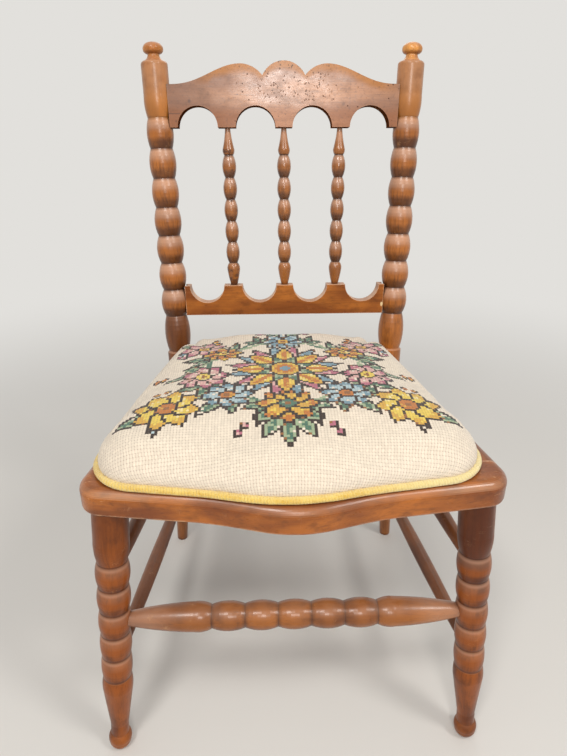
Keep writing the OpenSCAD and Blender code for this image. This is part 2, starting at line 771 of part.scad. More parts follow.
module spindle(k) {
    len = spindle_len(k);
    bead_len = (len - cone_len - drop_len) / spindle_beads;
    color(bead_colour) placed() on_spindle(k) turned(concat(
        [[-spindle_tenon_len, spindle_low_r, 0], [0, spindle_low_r, 0],
        [cone_len - cone_full, spindle_bead_r - 0.3, 0.3],
        [cone_len, spindle_neck_r, 0.9]],
        beads(cone_len, bead_len, spindle_beads, spindle_neck_r, spindle_bead_r, spindle_bead_r),
        [[len - drop_len + drop_full, drop_r, 0.6], [len, spindle_top_r, -0.5],
        [len + spindle_tenon_len, spindle_top_r, 0]]));
}

module left_spindle() {
    spindle(-1);
}

module centre_spindle() {
    spindle(0);
}

module right_spindle() {
    spindle(1);
}

// Front legs and stretchers

module on_leg(side) {
    along(front_foot(side), front_top(side)) children();
}

module front_leg(side) {
    start = (ball_h - ball_r) * 2 / 3;
    sole = sqrt(pow(ball_r, 2) - pow(ball_h - start, 2));
    top_groove = leg_groove_h + leg_beads * leg_bead_len;
    stations = concat([[start, sole, 0],
        [ball_h, ball_r, ball_r * (1 - cos(asin((ball_h - start) / ball_r) / 2))], [ankle_h, ankle_r, 1.2],
        [ankle_top_h, ankle_r, 0], [calf_h, calf_r, 0], [leg_groove_h, leg_groove_r, 0.5]],
        beads(leg_groove_h, leg_bead_len, leg_beads, leg_groove_r, leg_bead_low_r, leg_bead_high_r),
        [[top_groove + neck_rise, leg_top_r, 0.9], [leg_top + 5, leg_top_r, 0]]);
    color(leg_colour) placed() difference() {
        union() {
            intersection() {
                on_leg(side) turned(stations);
                box([-far, -far, 0], [far, far, frame_low]);
            }
            on_leg(side) rod(leg_tenon_r, leg_top - 5, leg_top + leg_tenon_len);
        }
        side_stretcher_holes(side, true);
        stretcher_hole(on_front_leg(side, front_stretcher_h), on_front_leg(-side, front_stretcher_h),
            front_stop, stretcher_tip_r);
    }
}

module left_front_leg() {
    front_leg(left);
}

module right_front_leg() {
    front_leg(right);
}

// The hole in a leg, at a on its axis, for a stretcher that comes from b
module stretcher_hole(a, b, stop, r) {
    along(a, b) rod(r + fit, stop - hole_end, 2 * leg_top_r);
}

module side_stretcher_holes(side, in_front) {
    for (h = [[upper_front_h, upper_rear_h], [lower_front_h, lower_rear_h]]) {
        a = on_front_leg(side, h[0]);
        b = on_rear_leg(side, h[1]);
        if (in_front) stretcher_hole(a, b, front_stop, plain_tip_r);
        else stretcher_hole(b, a, rear_stop, plain_tip_r);
    }
}

module plain_stretcher(a, b, stop_a, stop_b) {
    len = norm(b - a);
    color(leg_colour) placed() along(a, b) turned([[stop_a, plain_tip_r, 0],
        [stop_a + plain_tip_len, plain_tip_r, 0], [len / 2, plain_mid_r, 0.5],
        [len - stop_b - plain_tip_len, plain_tip_r, 0.5], [len - stop_b, plain_tip_r, 0]]);
}

module side_stretcher(side, front_h, rear_h) {
    plain_stretcher(on_front_leg(side, front_h), on_rear_leg(side, rear_h), front_stop, rear_stop);
}

module front_stretcher() {
    a = on_front_leg(left, front_stretcher_h);
    b = on_front_leg(right, front_stretcher_h);
    len = norm(b - a);
    tip = front_stop + stretcher_tip_len;
    row = stretcher_beads * stretcher_bead_len;
    first = (len - row) / 2;
    color(bead_colour) placed() along(a, b) turned(concat(
        [[front_stop, stretcher_tip_r, 0], [tip, stretcher_tip_r, 0],
        [first - vase_swell, stretcher_bead_r, 1.2], [first, stretcher_groove_r, 1.2]],
        beads(first, stretcher_bead_len, stretcher_beads,
            stretcher_groove_r, stretcher_bead_r, stretcher_bead_r),
        [[first + row + vase_swell, stretcher_bead_r, 1.2], [len - tip, stretcher_tip_r, 1.2],
        [len - front_stop, stretcher_tip_r, 0]]));
}

module left_upper_stretcher() {
    side_stretcher(left, upper_front_h, upper_rear_h);
}

module right_upper_stretcher() {
    side_stretcher(right, upper_front_h, upper_rear_h);
}

module left_lower_stretcher() {
    side_stretcher(left, lower_front_h, lower_rear_h);
}

module right_lower_stretcher() {
    side_stretcher(right, lower_front_h, lower_rear_h);
}

module rear_stretcher() {
    plain_stretcher(on_rear_leg(left, rear_stretcher_h), on_rear_leg(right, rear_stretcher_h),
        rear_stop, rear_stop);
}

// The pad and what carries it

// Foot of the pad, as [point, outward direction] pairs
pad_half = [[0, -corner_y - front_bow + pad_front_in, bow_r + pad_bow_wider],
    [hollow_x - pad_hollow_back, -corner_y - hollow_y + pad_hollow_in, hollow_r],
    [front_w / 2 - pad_corner_in, pad_corner_back - corner_y, pad_corner_r],
    [side_x(post_y - notch_in) - pad_side_in, post_y - notch_in, pad_rear_r],
    [post_x - notch_in, post_y - notch_in, notch_r], [post_x - notch_in, corner_y - pad_rear_in, pad_rear_r]];
pad_foot = rounded(concat(pad_half, mirrored(pad_half)), pad_sag);

// The pad's foot drawn in towards its middle by inset, and the area within its shoulder shrunk
// to a share of it
function pad_ring(inset) = [for (p = pad_foot) let(d = p[0] - pad_centre)
    pad_centre + d * (1 - inset / norm(d))];
function pad_level(inset, share, z) = [for (p = pad_ring(inset))
    let(q = pad_centre + (p - pad_centre) * share) [q.x, q.y, z]];

// Surface of the pad at a depth under the cover's outside, from angle a0 at its foot to the middle
function pad_surface(depth, a0, steps, shares) = concat(
    [for (i = [0:steps]) let(a = a0 + (90 - a0) * i / steps)
        each pad_level(depth + (pad_roll - depth) * (1 - cos(a)), 1, canvas_low + (pad_h - depth) * sin(a))],
    [for (s = shares) each pad_level(pad_roll, s, canvas_low + pad_h - depth + pad_crown * (1 - s * s))]);

module stuffing() {
    depth = cover_t + soft_gap;
    a0 = asin((stuffing_low - canvas_low) / (pad_h - depth));
    n = len(pad_foot);
    points = pad_surface(depth, a0, stuffing_steps, stuffing_shares);
    color(linen_colour) placed() polyhedron(points, ring_faces(n, len(points) / n), convexity = 4);
}

module needlepoint_cover() {
    n = len(pad_foot);
    outside = pad_surface(0, 0, cover_steps, cover_shares);
    inside = pad_surface(cover_t, 0, stuffing_steps, lining_shares);
    k = len(outside) / n;
    m = len(inside) / n;
    first = len(outside);
    rim = [for (i = [0:n - 1]) let(e = (i + 1) % n) each [[i, e, first + e], [i, first + e, first + i]]];
    lid = [[for (i = [n - 1:-1:0]) (k - 1) * n + i]];
    ceiling = [[for (i = [0:n - 1]) first + (m - 1) * n + i]];
    lining = [for (f = band_faces(n, m)) [first + f[2], first + f[1], first + f[0]]];
    color(wool_colour) placed()
        polyhedron(concat(outside, inside), concat(band_faces(n, k), lid, rim, lining, ceiling),
            convexity = 4);
}

module seat_welt() {
    n = len(pad_foot);
    middle = canvas_low + welt_r;
    points = [for (j = [0:welt_sides - 1])
        let(a = 360 * j / welt_sides, out = welt_r + soft_gap + welt_r * sin(a))
        for (p = pad_foot) [p[0].x + p[1].x * out, p[0].y + p[1].y * out, middle - welt_r * cos(a)]];
    closing = [for (i = [0:n - 1]) let(e = (i + 1) % n, j = (welt_sides - 1) * n)
        each [[j + i, i, e], [j + i, e, j + e]]];
    color(welt_colour) placed() polyhedron(points, concat(band_faces(n, welt_sides), closing), convexity = 4);
}

module seat_canvas() {
    color(linen_colour) placed() translate([0, 0, canvas_low])
        linear_extrude(canvas_t) polygon(pad_ring(cover_t + soft_gap));
}

// Lengthwise section of strip number j, from one end to the other, over and under the strips that cross it
module web_strip(j, from, to, over_first) {
    flat = web_w / 2 + web_slack;
    low = rebate_low + soft_gap;
    line = concat([[from, low]],
        [for (k = [0:web_count - 1])
            let(x = web_place(k), z = (j + k + over_first) % 2 == 0 ? seat_h - web_t : low)
            each [[x - flat, z], [x + flat, z]]],
        [[to, low]]);
    n = len(line);
    linear_extrude(web_w, center = true) polygon(concat(line, [for (i = [n - 1:-1:0]) line[i] + [0, web_t]]));
}

function web_place(k) = (k - (web_count - 1) / 2) * web_pitch;

module webbing_across() {
    color(jute_colour) placed() for (j = [0:web_count - 1]) {
        reach = side_x(web_place(j) + web_w / 2) - web_end_in;
        translate([0, web_place(j), 0]) rotate([90, 0, 0]) web_strip(j, -reach, reach, 0);
    }
}

module webbing_along() {
    color(jute_colour) placed() for (j = [0:web_count - 1])
        translate([web_place(j), 0, 0]) rotate([90, 0, 90])
            web_strip(j, board_y - web_front_lap, corner_y - pad_rear_in - rebate_in - 1, 1);
}

front_rail();
left_rail();
right_rail();
rear_rail();
frame_dowels();
left_post();
right_post();
left_finial();
right_finial();
crest_rail();
lower_back_rail();
left_spindle();
centre_spindle();
right_spindle();
left_front_leg();
right_front_leg();
front_stretcher();
left_upper_stretcher();
right_upper_stretcher();
left_lower_stretcher();
right_lower_stretcher();
rear_stretcher();
webbing_across();
webbing_along();
seat_canvas();
stuffing();
needlepoint_cover();
seat_welt();
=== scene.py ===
"""A child-size chair with bead-turned wood and a stitched wool pad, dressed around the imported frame."""
import math

import bmesh
import bpy
import numpy as np
from mathutils import Matrix, Vector, noise


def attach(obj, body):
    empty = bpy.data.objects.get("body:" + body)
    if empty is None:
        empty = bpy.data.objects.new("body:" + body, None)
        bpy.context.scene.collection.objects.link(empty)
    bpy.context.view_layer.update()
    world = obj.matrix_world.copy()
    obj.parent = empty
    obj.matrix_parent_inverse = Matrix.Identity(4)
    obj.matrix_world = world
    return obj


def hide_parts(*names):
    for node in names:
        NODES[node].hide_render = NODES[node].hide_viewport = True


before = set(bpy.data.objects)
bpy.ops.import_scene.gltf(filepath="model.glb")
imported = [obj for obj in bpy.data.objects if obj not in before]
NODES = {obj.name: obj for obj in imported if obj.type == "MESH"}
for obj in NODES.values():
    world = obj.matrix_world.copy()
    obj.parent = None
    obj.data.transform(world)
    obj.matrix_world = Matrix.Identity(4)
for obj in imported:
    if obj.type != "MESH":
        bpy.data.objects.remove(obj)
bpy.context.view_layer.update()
MM = 0.001

# Camera, found from the photograph
CAMERA_AT = (-0.02241, -0.52108, 0.58992)
CAMERA_DOWN, CAMERA_TURN, CAMERA_ROLL = math.radians(25.97), math.radians(1.85), math.radians(0.09)
FOCAL_PIXELS, LONG_SIDE_PIXELS, SENSOR = 582.96, 756, 36

# The upholstery, as the solids have it. On the photographed chair the pad sits a little to the left
PLAN_BACK, PAD_BACK = -5.6, -17.0
PAD_MIDDLE = np.array([0.0, PAD_BACK + PLAN_BACK]) * MM
PAD_SHIFT = -4.5 * MM
PAD_ROLL, PAD_H, PAD_CROWN = 34 * MM, 36 * MM, 4 * MM
COVER_T, CANVAS_T, SOFT_GAP = 1.8 * MM, 0.8 * MM, 0.3 * MM
STITCH = 2.54 * MM

# How the photographed pad departs from the solids
REAR_RISE, REAR_DROP = 3.6 * MM, 4.5 * MM
PAD_BULGE, BULGE_H = 3.4 * MM, 24 * MM
WELT_R = 3.0 * MM


def linear(red, green, blue):
    """A colour written as 0 to 255, as the linear values that a shader takes."""
    def one(c):
        c /= 255
        return c / 12.92 if c <= 0.04045 else ((c + 0.055) / 1.055) ** 2.4
    return (one(red), one(green), one(blue), 1.0)


def darkened(colour, share):
    return tuple(c * share for c in colour[:3]) + (1.0,)


def in_scene(name, data):
    made = bpy.data.objects.new(name, data)
    bpy.context.scene.collection.objects.link(made)
    return made


def points_of(name):
    """The points of a solid in the frame."""
    mesh = NODES[name].data
    found = np.empty(len(mesh.vertices) * 3, np.float32)
    mesh.vertices.foreach_get("co", found)
    return found.reshape(-1, 3).astype(float)


def box_of(name):
    """The lowest and highest corner of a solid's box."""
    points = points_of(name)
    return points.min(0).tolist(), points.max(0).tolist()


def main_axis(points):
    """Middle and direction of a long form."""
    centred = points - points.mean(0)
    axis = np.linalg.svd(centred, full_matrices=False)[2][0]
    return points.mean(0), axis * (1 if axis[np.argmax(abs(axis))] > 0 else -1)


def sign(operation, swapped=False):
    """The method that stands behind one of a Value's signs."""
    def work(self, other=0.0):
        return self.tree.math(operation, *((other, self) if swapped else (self, other)))
    return work


class Value:
    """What a node gives out. The signs + - * / and abs() add the node that works out the result."""

    def __init__(self, tree, socket):
        self.tree, self.socket = tree, socket

    __add__, __sub__ = sign("ADD"), sign("SUBTRACT")
    __radd__, __rsub__ = sign("ADD", True), sign("SUBTRACT", True)
    __mul__, __truediv__, __abs__ = sign("MULTIPLY"), sign("DIVIDE"), sign("ABSOLUTE")


class Tree:
    """The nodes of a material or world, written as calls, with the colour worked out so far."""

    def __init__(self, owner):
        owner.use_nodes = True
        self.owner = owner
        self.nodes, self.links = owner.node_tree.nodes, owner.node_tree.links
        self.shader = self.nodes.get("Principled BSDF")

    def link(self, value, socket):
        if isinstance(value, Value):
            self.links.new(value.socket, socket)
        else:
            socket.default_value = value

    def node(self, kind, out=0, settings=None, **sockets):
        """Adds a node. A socket is given by its name, or as i0, i1 and so on by its number."""
        made = self.nodes.new(kind)
        for key, value in (settings or {}).items():
            setattr(made, key, value)
        for key, value in sockets.items():
            self.link(value, made.inputs[int(key[1:]) if key[1:].isdigit() else key.replace("_", " ")])
        return Value(self, made.outputs[out])

    def math(self, operation, a, b=0.0):
        """A sum of two numbers, or of two vectors where the second is written out."""
        kind = "ShaderNodeVectorMath" if isinstance(b, tuple) else "ShaderNodeMath"
        return self.node(kind, 0, {"operation": operation}, i0=a, i1=b)

    def vector(self, operation, a, b=(0, 0, 0), out=0):
        return self.node("ShaderNodeVectorMath", out, {"operation": operation}, i0=a, i1=b)

    def distance(self, a, b):
        return self.vector("DISTANCE", a, b, out=1)

    def larger(self, a, b):
        return self.math("MAXIMUM", a, b)

    def mix(self, share, a, b, blend="MIX"):
        made = {"data_type": "RGBA", "blend_type": blend, "clamp_factor": True}
        return self.node("ShaderNodeMix", 2, made, i0=share, i6=a, i7=b)

    def mix_vector(self, share, a, b):
        return self.node("ShaderNodeMix", 1, {"data_type": "VECTOR"}, i0=share, i4=a, i5=b)

    def tint(self, colour, share, *shares):
        """Mixes the colour so far towards another, by the product of the shares."""
        for other in shares:
            share = share * other
        self.colour = self.mix(share, self.colour, colour)

    def spread(self, value, low, high, to_low=0.0, to_high=1.0):
        """Eases from one result at low to the other at high. low may be the larger of the two."""
        settings = {"interpolation_type": "SMOOTHSTEP", "clamp": True}
        return self.node("ShaderNodeMapRange", 0, settings, i0=value, i1=low, i2=high, i3=to_low, i4=to_high)

    def noise(self, vector, scale, detail=3.0, rough=0.55, distortion=0.0):
        return self.node("ShaderNodeTexNoise", Vector=vector, Scale=scale, Detail=detail, Roughness=rough,
                         Distortion=distortion)

    def cells(self, vector, scale):
        """How far a place is from the middle of its cell, in a plane of uneven cells."""
        return self.node("ShaderNodeTexVoronoi", 0, {"voronoi_dimensions": "2D"}, Vector=vector, Scale=scale)

    def curve(self, value, places, heights):
        """A curve through heights at places, both within 0 to 1."""
        made = self.nodes.new("ShaderNodeFloatCurve")
        points = made.mapping.curves[0].points
        for place, height in zip(places[1:-1], heights[1:-1]):
            points.new(place, height)
        points[0].location, points[-1].location = (places[0], heights[0]), (places[-1], heights[-1])
        made.mapping.update()
        self.link(value, made.inputs["Value"])
        return Value(self, made.outputs[0])

    def shade(self, distance):
        """How open a place is: 1 in the open, and less in a corner."""
        return self.node("ShaderNodeAmbientOcclusion", 1, {"samples": 6}, Distance=distance)

    def combined(self, x, y, z=0.0):
        return self.node("ShaderNodeCombineXYZ", X=x, Y=y, Z=z)

    def split(self, vector):
        made = self.nodes.new("ShaderNodeSeparateXYZ")
        self.link(vector, made.inputs[0])
        return [Value(self, socket) for socket in made.outputs]

    @property
    def place(self):
        return self.node("ShaderNodeTexCoord", 3)

    @property
    def normal(self):
        return self.node("ShaderNodeNewGeometry", 1)

    @property
    def facing(self):
        """How far a surface faces up, from -1 to 1."""
        return self.split(self.normal)[2]

    def turned_place(self, middle, axis):
        """The place in metres from a point, with Z along a direction."""
        z = Vector(axis).normalized()
        x = z.orthogonal().normalized()
        y = z.cross(x)
        moved = self.place - tuple(middle)
        return self.combined(*(self.vector("DOT_PRODUCT", moved, tuple(d), out=1) for d in (x, y, z)))

    def finish(self, rough, height=None, depth=0.0, strength=1.0, **constants):
        """Gives the shader its colour, roughness, bump and constants."""
        self.link(self.colour, self.shader.inputs["Base Color"])
        self.link(rough, self.shader.inputs["Roughness"])
        if height is not None:
            bump = self.node("ShaderNodeBump", Height=height, Distance=depth, Strength=strength)
            self.link(bump, self.shader.inputs["Normal"])
        for key, value in constants.items():
            self.shader.inputs[key.replace("_", " ")].default_value = value
        return self.owner


def material(name):
    return Tree(bpy.data.materials.new(name))


# Wood

PALE_WOOD = (216, 164, 112)
PALE = linear(*PALE_WOOD)
DEEP = linear(58, 26, 14)
# Dust, which on upward faces also stands for a painted sheen
DUST_AND_SHEEN = linear(206, 160, 132)
# A painted highlight, also laid on worn edges
GLEAM = linear(226, 184, 150)
ACROSS, ALONG = (1.0, 0.0, 0.0), (0.0, 1.0, 0.0)

# Heights between which a post bends, and those beyond which it is straight
BEND_LOW, BEND_HIGH, LEG_STRAIGHT, BACK_STRAIGHT = 0.280, 0.312, 0.270, 0.335
# How far outside its end grooves a row of beads fades out
ROW_FADE = 1.6 * MM


def wood(name, middle, axis, base, crown, beads=None, upright=True, lower=None, bloom=0.3, worn=0.3,
         edge=0.0, brow=0.0, cap=0.3, ring=0.85, bands=1.0, tips=0.0, dirt=0.8, seed=0.0, gloss=0.5,
         smooth=0.30, shine=0.16, extra=None):
    """Stained and varnished wood with its grain along an axis, in a base and a lighter crown colour.

    beads: the first groove's place on the axis, the distance between grooves, and the number of beads
    upright: whether the beads stand one above the other, with dust on their shoulders
    lower: middle and axis of the grain below a bend
    bloom, worn, edge, brow: how far upward faces (dust and a painted sheen), rubbed places, edges (worn, with
    a painted highlight) and upper roundings (a painted highlight) are paler
    cap, ring, bands, tips: strength of the beads' lips (a painted highlight), grooves (painted shade) and
    bands (painted shade on the feet), and of the ends beyond them
    dirt, seed: dirt and painted shade in the corners, and the place in the noise
    gloss, smooth, shine: weight of the varnish, its roughness, and the reflection under it
    extra: a function that adds this piece's own marks"""
    t = material(name)
    base, crown = linear(*base), linear(*crown)
    darker = t.darker = darkened(base, 0.45)
    place = straight = t.turned_place(middle, axis)
    up_high = t.split(t.place)[2]
    if lower is not None:
        place = t.mix_vector(t.spread(up_high, BEND_LOW, BEND_HIGH), t.turned_place(*lower), place)
    shifted = place + (seed * 0.37, seed * 0.21, seed * 0.53)
    # Stain: broad clouds, the long figure, fine fibres and short dark pores
    broad = t.noise(shifted * (1.0, 1.0, 0.3), 34.0, 3.0, 0.5, 0.3)
    cloud = t.noise(shifted * (1.0, 1.0, 0.6), 95.0, 4.0, 0.62)
    figure = t.noise(shifted * (1.0, 1.0, 0.07), 210.0, 4.0, 0.65, 0.6)
    fibre = t.noise(shifted * (1.0, 1.0, 0.03), 1100.0, 2.0, 0.6)
    pore = t.noise(shifted * (1.0, 1.0, 0.16), 900.0, 1.0, 0.5)
    t.colour = t.mix(t.spread(broad, 0.36, 0.66), base, crown)
    t.tint(darker, t.spread(cloud, 0.48, 0.72, 0.0, 0.46))
    t.tint(darker, t.spread(figure, 0.46, 0.70, 0.0, 0.34))
    t.tint(darker, t.spread(fibre, 0.50, 0.72, 0.0, 0.26))
    t.tint(DEEP, t.spread(pore, 0.66, 0.76, 0.0, 0.35))
    if beads is not None:
        first, pitch, count = beads[0] * MM, beads[1] * MM, beads[2]
        last = first + count * pitch
        z = t.split(straight)[2]
        part = t.math("FRACT", (z - first) / pitch)
        row = t.spread(z, first - ROW_FADE, first) * t.spread(z, last + ROW_FADE, last)
        groove = t.math("MINIMUM", part, 1.0 - part) * pitch
        if upright:
            # Golden waist, a foot darkened by painted shade with dark streaks, and a dusty shoulder with a
            # painted sheen
            t.tint(crown, t.spread(part, 0.20, 0.42), t.spread(part, 0.76, 0.50), row, 0.65)
            t.tint(darker, t.spread(part, 0.42, 0.14), row, 0.62 * bands)
            streak = t.noise(shifted * (1.0, 1.0, 0.10), 480.0, 3.0, 0.6, 0.3)
            t.tint(darker, t.spread(streak, 0.48, 0.62), t.spread(part, 0.85, 0.35), row, 0.42 * bands)
            t.tint(DUST_AND_SHEEN, t.spread(part, 0.48, 0.80), t.spread(part, 1.0, 0.92), row, 1.15 * bloom)
            # A painted highlight on each bead's lip, in the dust colour
            t.tint(DUST_AND_SHEEN, t.spread(part, 0.78, 0.93), t.spread(part, 1.0, 0.96), row, cap)
        else:
            # A painted highlight on each bead's fullest place, and paler towards the two ends of the piece
            t.tint(crown, t.spread(groove, 0.2 * pitch, 0.45 * pitch), row, 0.5)
            away = abs(z - (first + 0.5 * count * pitch))
            t.tint(DUST_AND_SHEEN, t.spread(away, 0.100, 0.135), 0.30)
            t.tint(crown, t.spread(away, 0.070, 0.082), t.spread(away, 0.105, 0.092), 0.45)
        # Beyond the row the crown's colour, and past its end dust with a painted sheen
        if tips:
            t.tint(crown, t.spread(row, 1.0, 0.0), tips)
            t.tint(DUST_AND_SHEEN, t.spread(z, last + 9 * MM, last + 18 * MM), 0.7 * tips)
        # Painted shade towards each groove, darkest at its bottom
        t.tint(darker, t.spread(groove, 3.8 * MM, 0.4 * MM), row, 0.55)
        t.tint(DEEP, t.spread(groove, 0.9 * MM, 0.2 * MM), row, t.spread(cloud, 0.3, 0.6, 0.55, 1.0), ring)
    # Paler where it faces up: dust, and a painted sheen
    facing = t.facing
    t.tint(DUST_AND_SHEEN, t.spread(facing, 0.15, 0.95), t.spread(cloud, 0.30, 0.62, 0.55, 1.0), bloom)
    # A painted highlight along the upper roundings
    if brow:
        t.tint(GLEAM, t.spread(facing, 0.22, 0.50), t.spread(facing, 0.97, 0.80),
               t.spread(broad, 0.30, 0.60, 0.5, 1.0), brow)
    # Painted shade on faces that look down
    under = t.spread(facing, -0.15, -0.80)
    t.tint(darker, under, 0.45)
    # Dirt and painted shade in the corners and joints
    grime_and_shade = t.spread(t.shade(6 * MM), 0.86, 0.36) * t.spread(cloud, 0.25, 0.65, 0.6, 1.0)
    t.tint(DEEP, grime_and_shade, dirt)
    # Rubbed places, and a few fine scratches across the grain
    patchy = t.noise(shifted, 62.0, 6.0, 0.68)
    t.tint(PALE, t.spread(patchy, 0.625, 0.72, 0.0, 0.6 * worn))
    bent = t.noise(shifted * (0.5, 0.5, 1.6), 70.0, 2.0, 0.4, 1.2)
    scratch = t.spread(abs(bent - 0.5), 0.0045, 0.0015) * t.spread(patchy, 0.54, 0.62)
    t.tint(PALE, scratch, worn)
    if lower is None and beads is not None and upright:
        # The front legs' ball feet are worn to a paler brown
        t.tint(linear(168, 96, 38), t.spread(up_high, 0.030, 0.010),
               t.spread(patchy, 0.35, 0.60, 0.35, 1.0), 0.45)
    # Edges worn paler, with a painted highlight on them
    if edge:
        rounded = t.node("ShaderNodeBevel", 0, {"samples": 4}, Radius=1.2 * MM)
        alike = t.vector("DOT_PRODUCT", rounded, t.normal, out=1)
        t.tint(GLEAM, t.spread(alike, 0.998, 0.96), t.spread(cloud, 0.34, 0.58, 0.15, 1.0), edge)
    t.height = fibre * 0.45 + pore * -0.30 + cloud * 0.9 - scratch * 0.5
    t.rough = t.spread(cloud, 0.3, 0.7, smooth, smooth + 0.14) + grime_and_shade * 0.22 + under * 0.30
    if extra is not None:
        extra(t)
    return t.finish(t.rough, t.height, 0.22 * MM, 0.55, Coat_Weight=gloss, Coat_Roughness=smooth,
                    Specular_IOR_Level=shine)


def wear(node, made):
    """Gives a solid a material in place of its own."""
    mesh = NODES[node].data
    mesh.materials.clear()
    mesh.materials.append(made)


def dress(node, base, crown, axis=None, **more):
    """Gives a solid its own wood, with the grain along the solid unless an axis is given."""
    wear(node, wood(node + "_wood", *(axis or main_axis(points_of(node))), base, crown, **more))


# Marks of single pieces. Their places are in metres

SPINDLE_LOW = box_of("left_spindle")[0][2]
POST_TOP = box_of("left_post")[1][2]
(_, FRONT_EDGE, FRONT_LOW), (FRONT_END, _, FRONT_TOP) = box_of("front_rail")
# The knocks on the front corners: side, distance behind the front edge and distance below the top, and how
# far in from the rail's ends they are
KNOCKS, KNOCK_IN = ((-1.0, 0.042, 0.0), (1.0, 0.038, 0.014)), 0.016
crest_points = points_of("crest_rail")
CREST_LOW = float(crest_points[:, 2].min())
# The crest rail's upper outline, from one end to the other
CREST_PLACES = np.linspace(-0.118, 0.118, 41)
CREST_TOPS = np.array([crest_points[abs(crest_points[:, 0] - x) < 0.0045][:, 2].max()
                       for x in CREST_PLACES]) - CREST_LOW
# Stains on the crest rail: place across and up, size and strength
STAINS = ((-0.0975, 0.0270, 0.0022, 0.7), (-0.048, 0.0330, 0.0012, 0.5), (0.062, 0.0240, 0.0022, 0.45),
          (0.068, 0.0200, 0.0014, 0.4), (-0.112, 0.0080, 0.0016, 0.5))
# The crack in the crest rail's left end and the chip on the lower rail: heights above the rails' lower
# edges, the chip's place across, and the share by which its height counts
CRACK_UP, CHIP_UP, CHIP_ACROSS, CHIP_SLIM = 0.0146, 0.0125, 0.1115, 0.6
LOWER_LOW = box_of("lower_back_rail")[0][2]


def smudged(t):
    """Dark old varnish left in the grooves and over the foot of the left spindle."""
    up = t.split(t.place)[2] - SPINDLE_LOW
    blots = t.noise(t.place, 130.0, 3.0, 0.6)
    foot = t.spread(up, 0.062, 0.034) * t.spread(blots, 0.44, 0.60)
    rest = t.spread(up, 0.034, 0.062) * t.spread(blots, 0.58, 0.66)
    t.tint(DEEP, t.larger(foot, rest), 0.7)


def shaded_top(t):
    """Painted shadow of the frame on the front legs' tops."""
    t.tint(t.darker, t.spread(t.split(t.place)[2], 0.215, 0.265), 0.42)


def bleached_top(t):
    """The posts' tops have faded."""
    down = POST_TOP - t.split(t.place)[2]
    uneven = t.spread(t.noise(t.place, 90.0), 0.3, 0.6, 0.6, 1.0)
    t.tint(linear(206, 150, 106), t.spread(down, 0.052, 0.022), uneven, 0.5)
    t.tint(linear(196, 126, 56), t.spread(down, 0.062, 0.050), t.spread(down, 0.020, 0.038), 0.45)


def scuffs(t):
    """Whitish scuffs and a painted highlight on the front corners, and a rubbed lower edge in the left half.
    """
    place = t.place
    for side, back, down in KNOCKS:
        far = t.distance(place, (side * (FRONT_END - KNOCK_IN), FRONT_EDGE + back, FRONT_TOP - down))
        marks = t.noise((place + (0.7 * side, 0.2, 0.5)) * (0.22, 0.6, 1.0), 620.0, 4.0, 0.7)
        t.tint(PALE, t.spread(far, 0.026, 0.010), t.spread(marks, 0.60, 0.68), 0.50)
    x, y, z = t.split(place)
    facing = t.facing
    # The painted highlight on the corners' upper rounding
    t.tint(GLEAM, t.spread(facing, 0.25, 0.50), t.spread(facing, 0.96, 0.80),
           t.spread(abs(x), 0.105, 0.150), t.spread(y, FRONT_EDGE + 0.036, FRONT_EDGE + 0.018), 0.50)
    t.tint(PALE, t.spread(z, FRONT_LOW + 0.0030, FRONT_LOW + 0.0012), t.spread(x, 0.0, -0.03),
           t.spread(facing, -0.95, -0.60), t.spread(t.noise(place, 120.0, 3.0), 0.42, 0.55), 0.6)


def crest_marks(t):
    """Darker ends, golden upper edges that are painted light on their rounding, stains, a repaired crack in
    the left end, and small dark pits, densest on the middle."""
    x, _, z = t.split(t.place)
    flat = t.combined(x, z)
    up = z - CREST_LOW
    side = abs(x - 0.014)
    t.tint(t.darker, t.spread(side, 0.030, 0.110), 0.40)
    top = t.curve(x * 4.0 + 0.5, CREST_PLACES * 4.0 + 0.5, CREST_TOPS * 10.0) * 0.1
    below = top - up + (t.noise(flat, 60.0, 2.0) - 0.5) * 0.004
    # Painted light on the upper edges' rounding, in gold, where the sheen is kept off
    golden = t.spread(below, 0.0105, 0.003) * t.spread(side, 0.115, 0.075)
    t.tint(linear(172, 108, 36), golden, 0.80)
    low = t.spread(up, 0.027, 0.012)
    t.tint(linear(150, 90, 48), low, 0.5)
    t.rough = t.rough + t.larger(golden, low) * 0.30 + t.spread(side, 0.03, 0.10) * 0.12
    t.tint(t.darker, t.spread(t.noise(flat, 330.0, 3.0, 0.6), 0.52, 0.72, 0.0, 0.5))
    for across, height, size, strength in STAINS:
        far = t.distance(flat, (across, CREST_LOW + height, 0.0)) + t.noise(flat, 400.0, 2.0) * (0.5 * size)
        t.tint(DEEP, t.spread(far, 1.4 * size, 0.5 * size), strength)
    crack = abs(up - t.noise(flat, 160.0, 2.0) * 0.0014 - CRACK_UP)
    t.tint(DEEP, t.spread(crack, 0.0006, 0.0002), t.spread(x, -0.106, -0.109), 0.75)
    picked = t.noise(flat + (3.1, 7.7, 0.0), 150.0, 1.0)
    dense = (t.spread(t.cells(flat, 250.0), 0.21, 0.12) * t.spread(picked, 0.49, 0.57)
             * t.spread(x, -0.038, -0.012) * t.spread(x, 0.056, 0.036) * t.spread(up, 0.020, 0.030))
    sparse = (t.spread(t.cells(flat + (5.3, 1.9, 0.0), 105.0), 0.10, 0.06) * t.spread(picked, 0.50, 0.56)
              * t.spread(x, -0.06, -0.04))
    pit = t.larger(dense, sparse)
    t.tint(linear(64, 32, 18), pit, 0.74)
    t.height, t.rough = t.height - pit * 3.0, t.rough + pit * 0.5


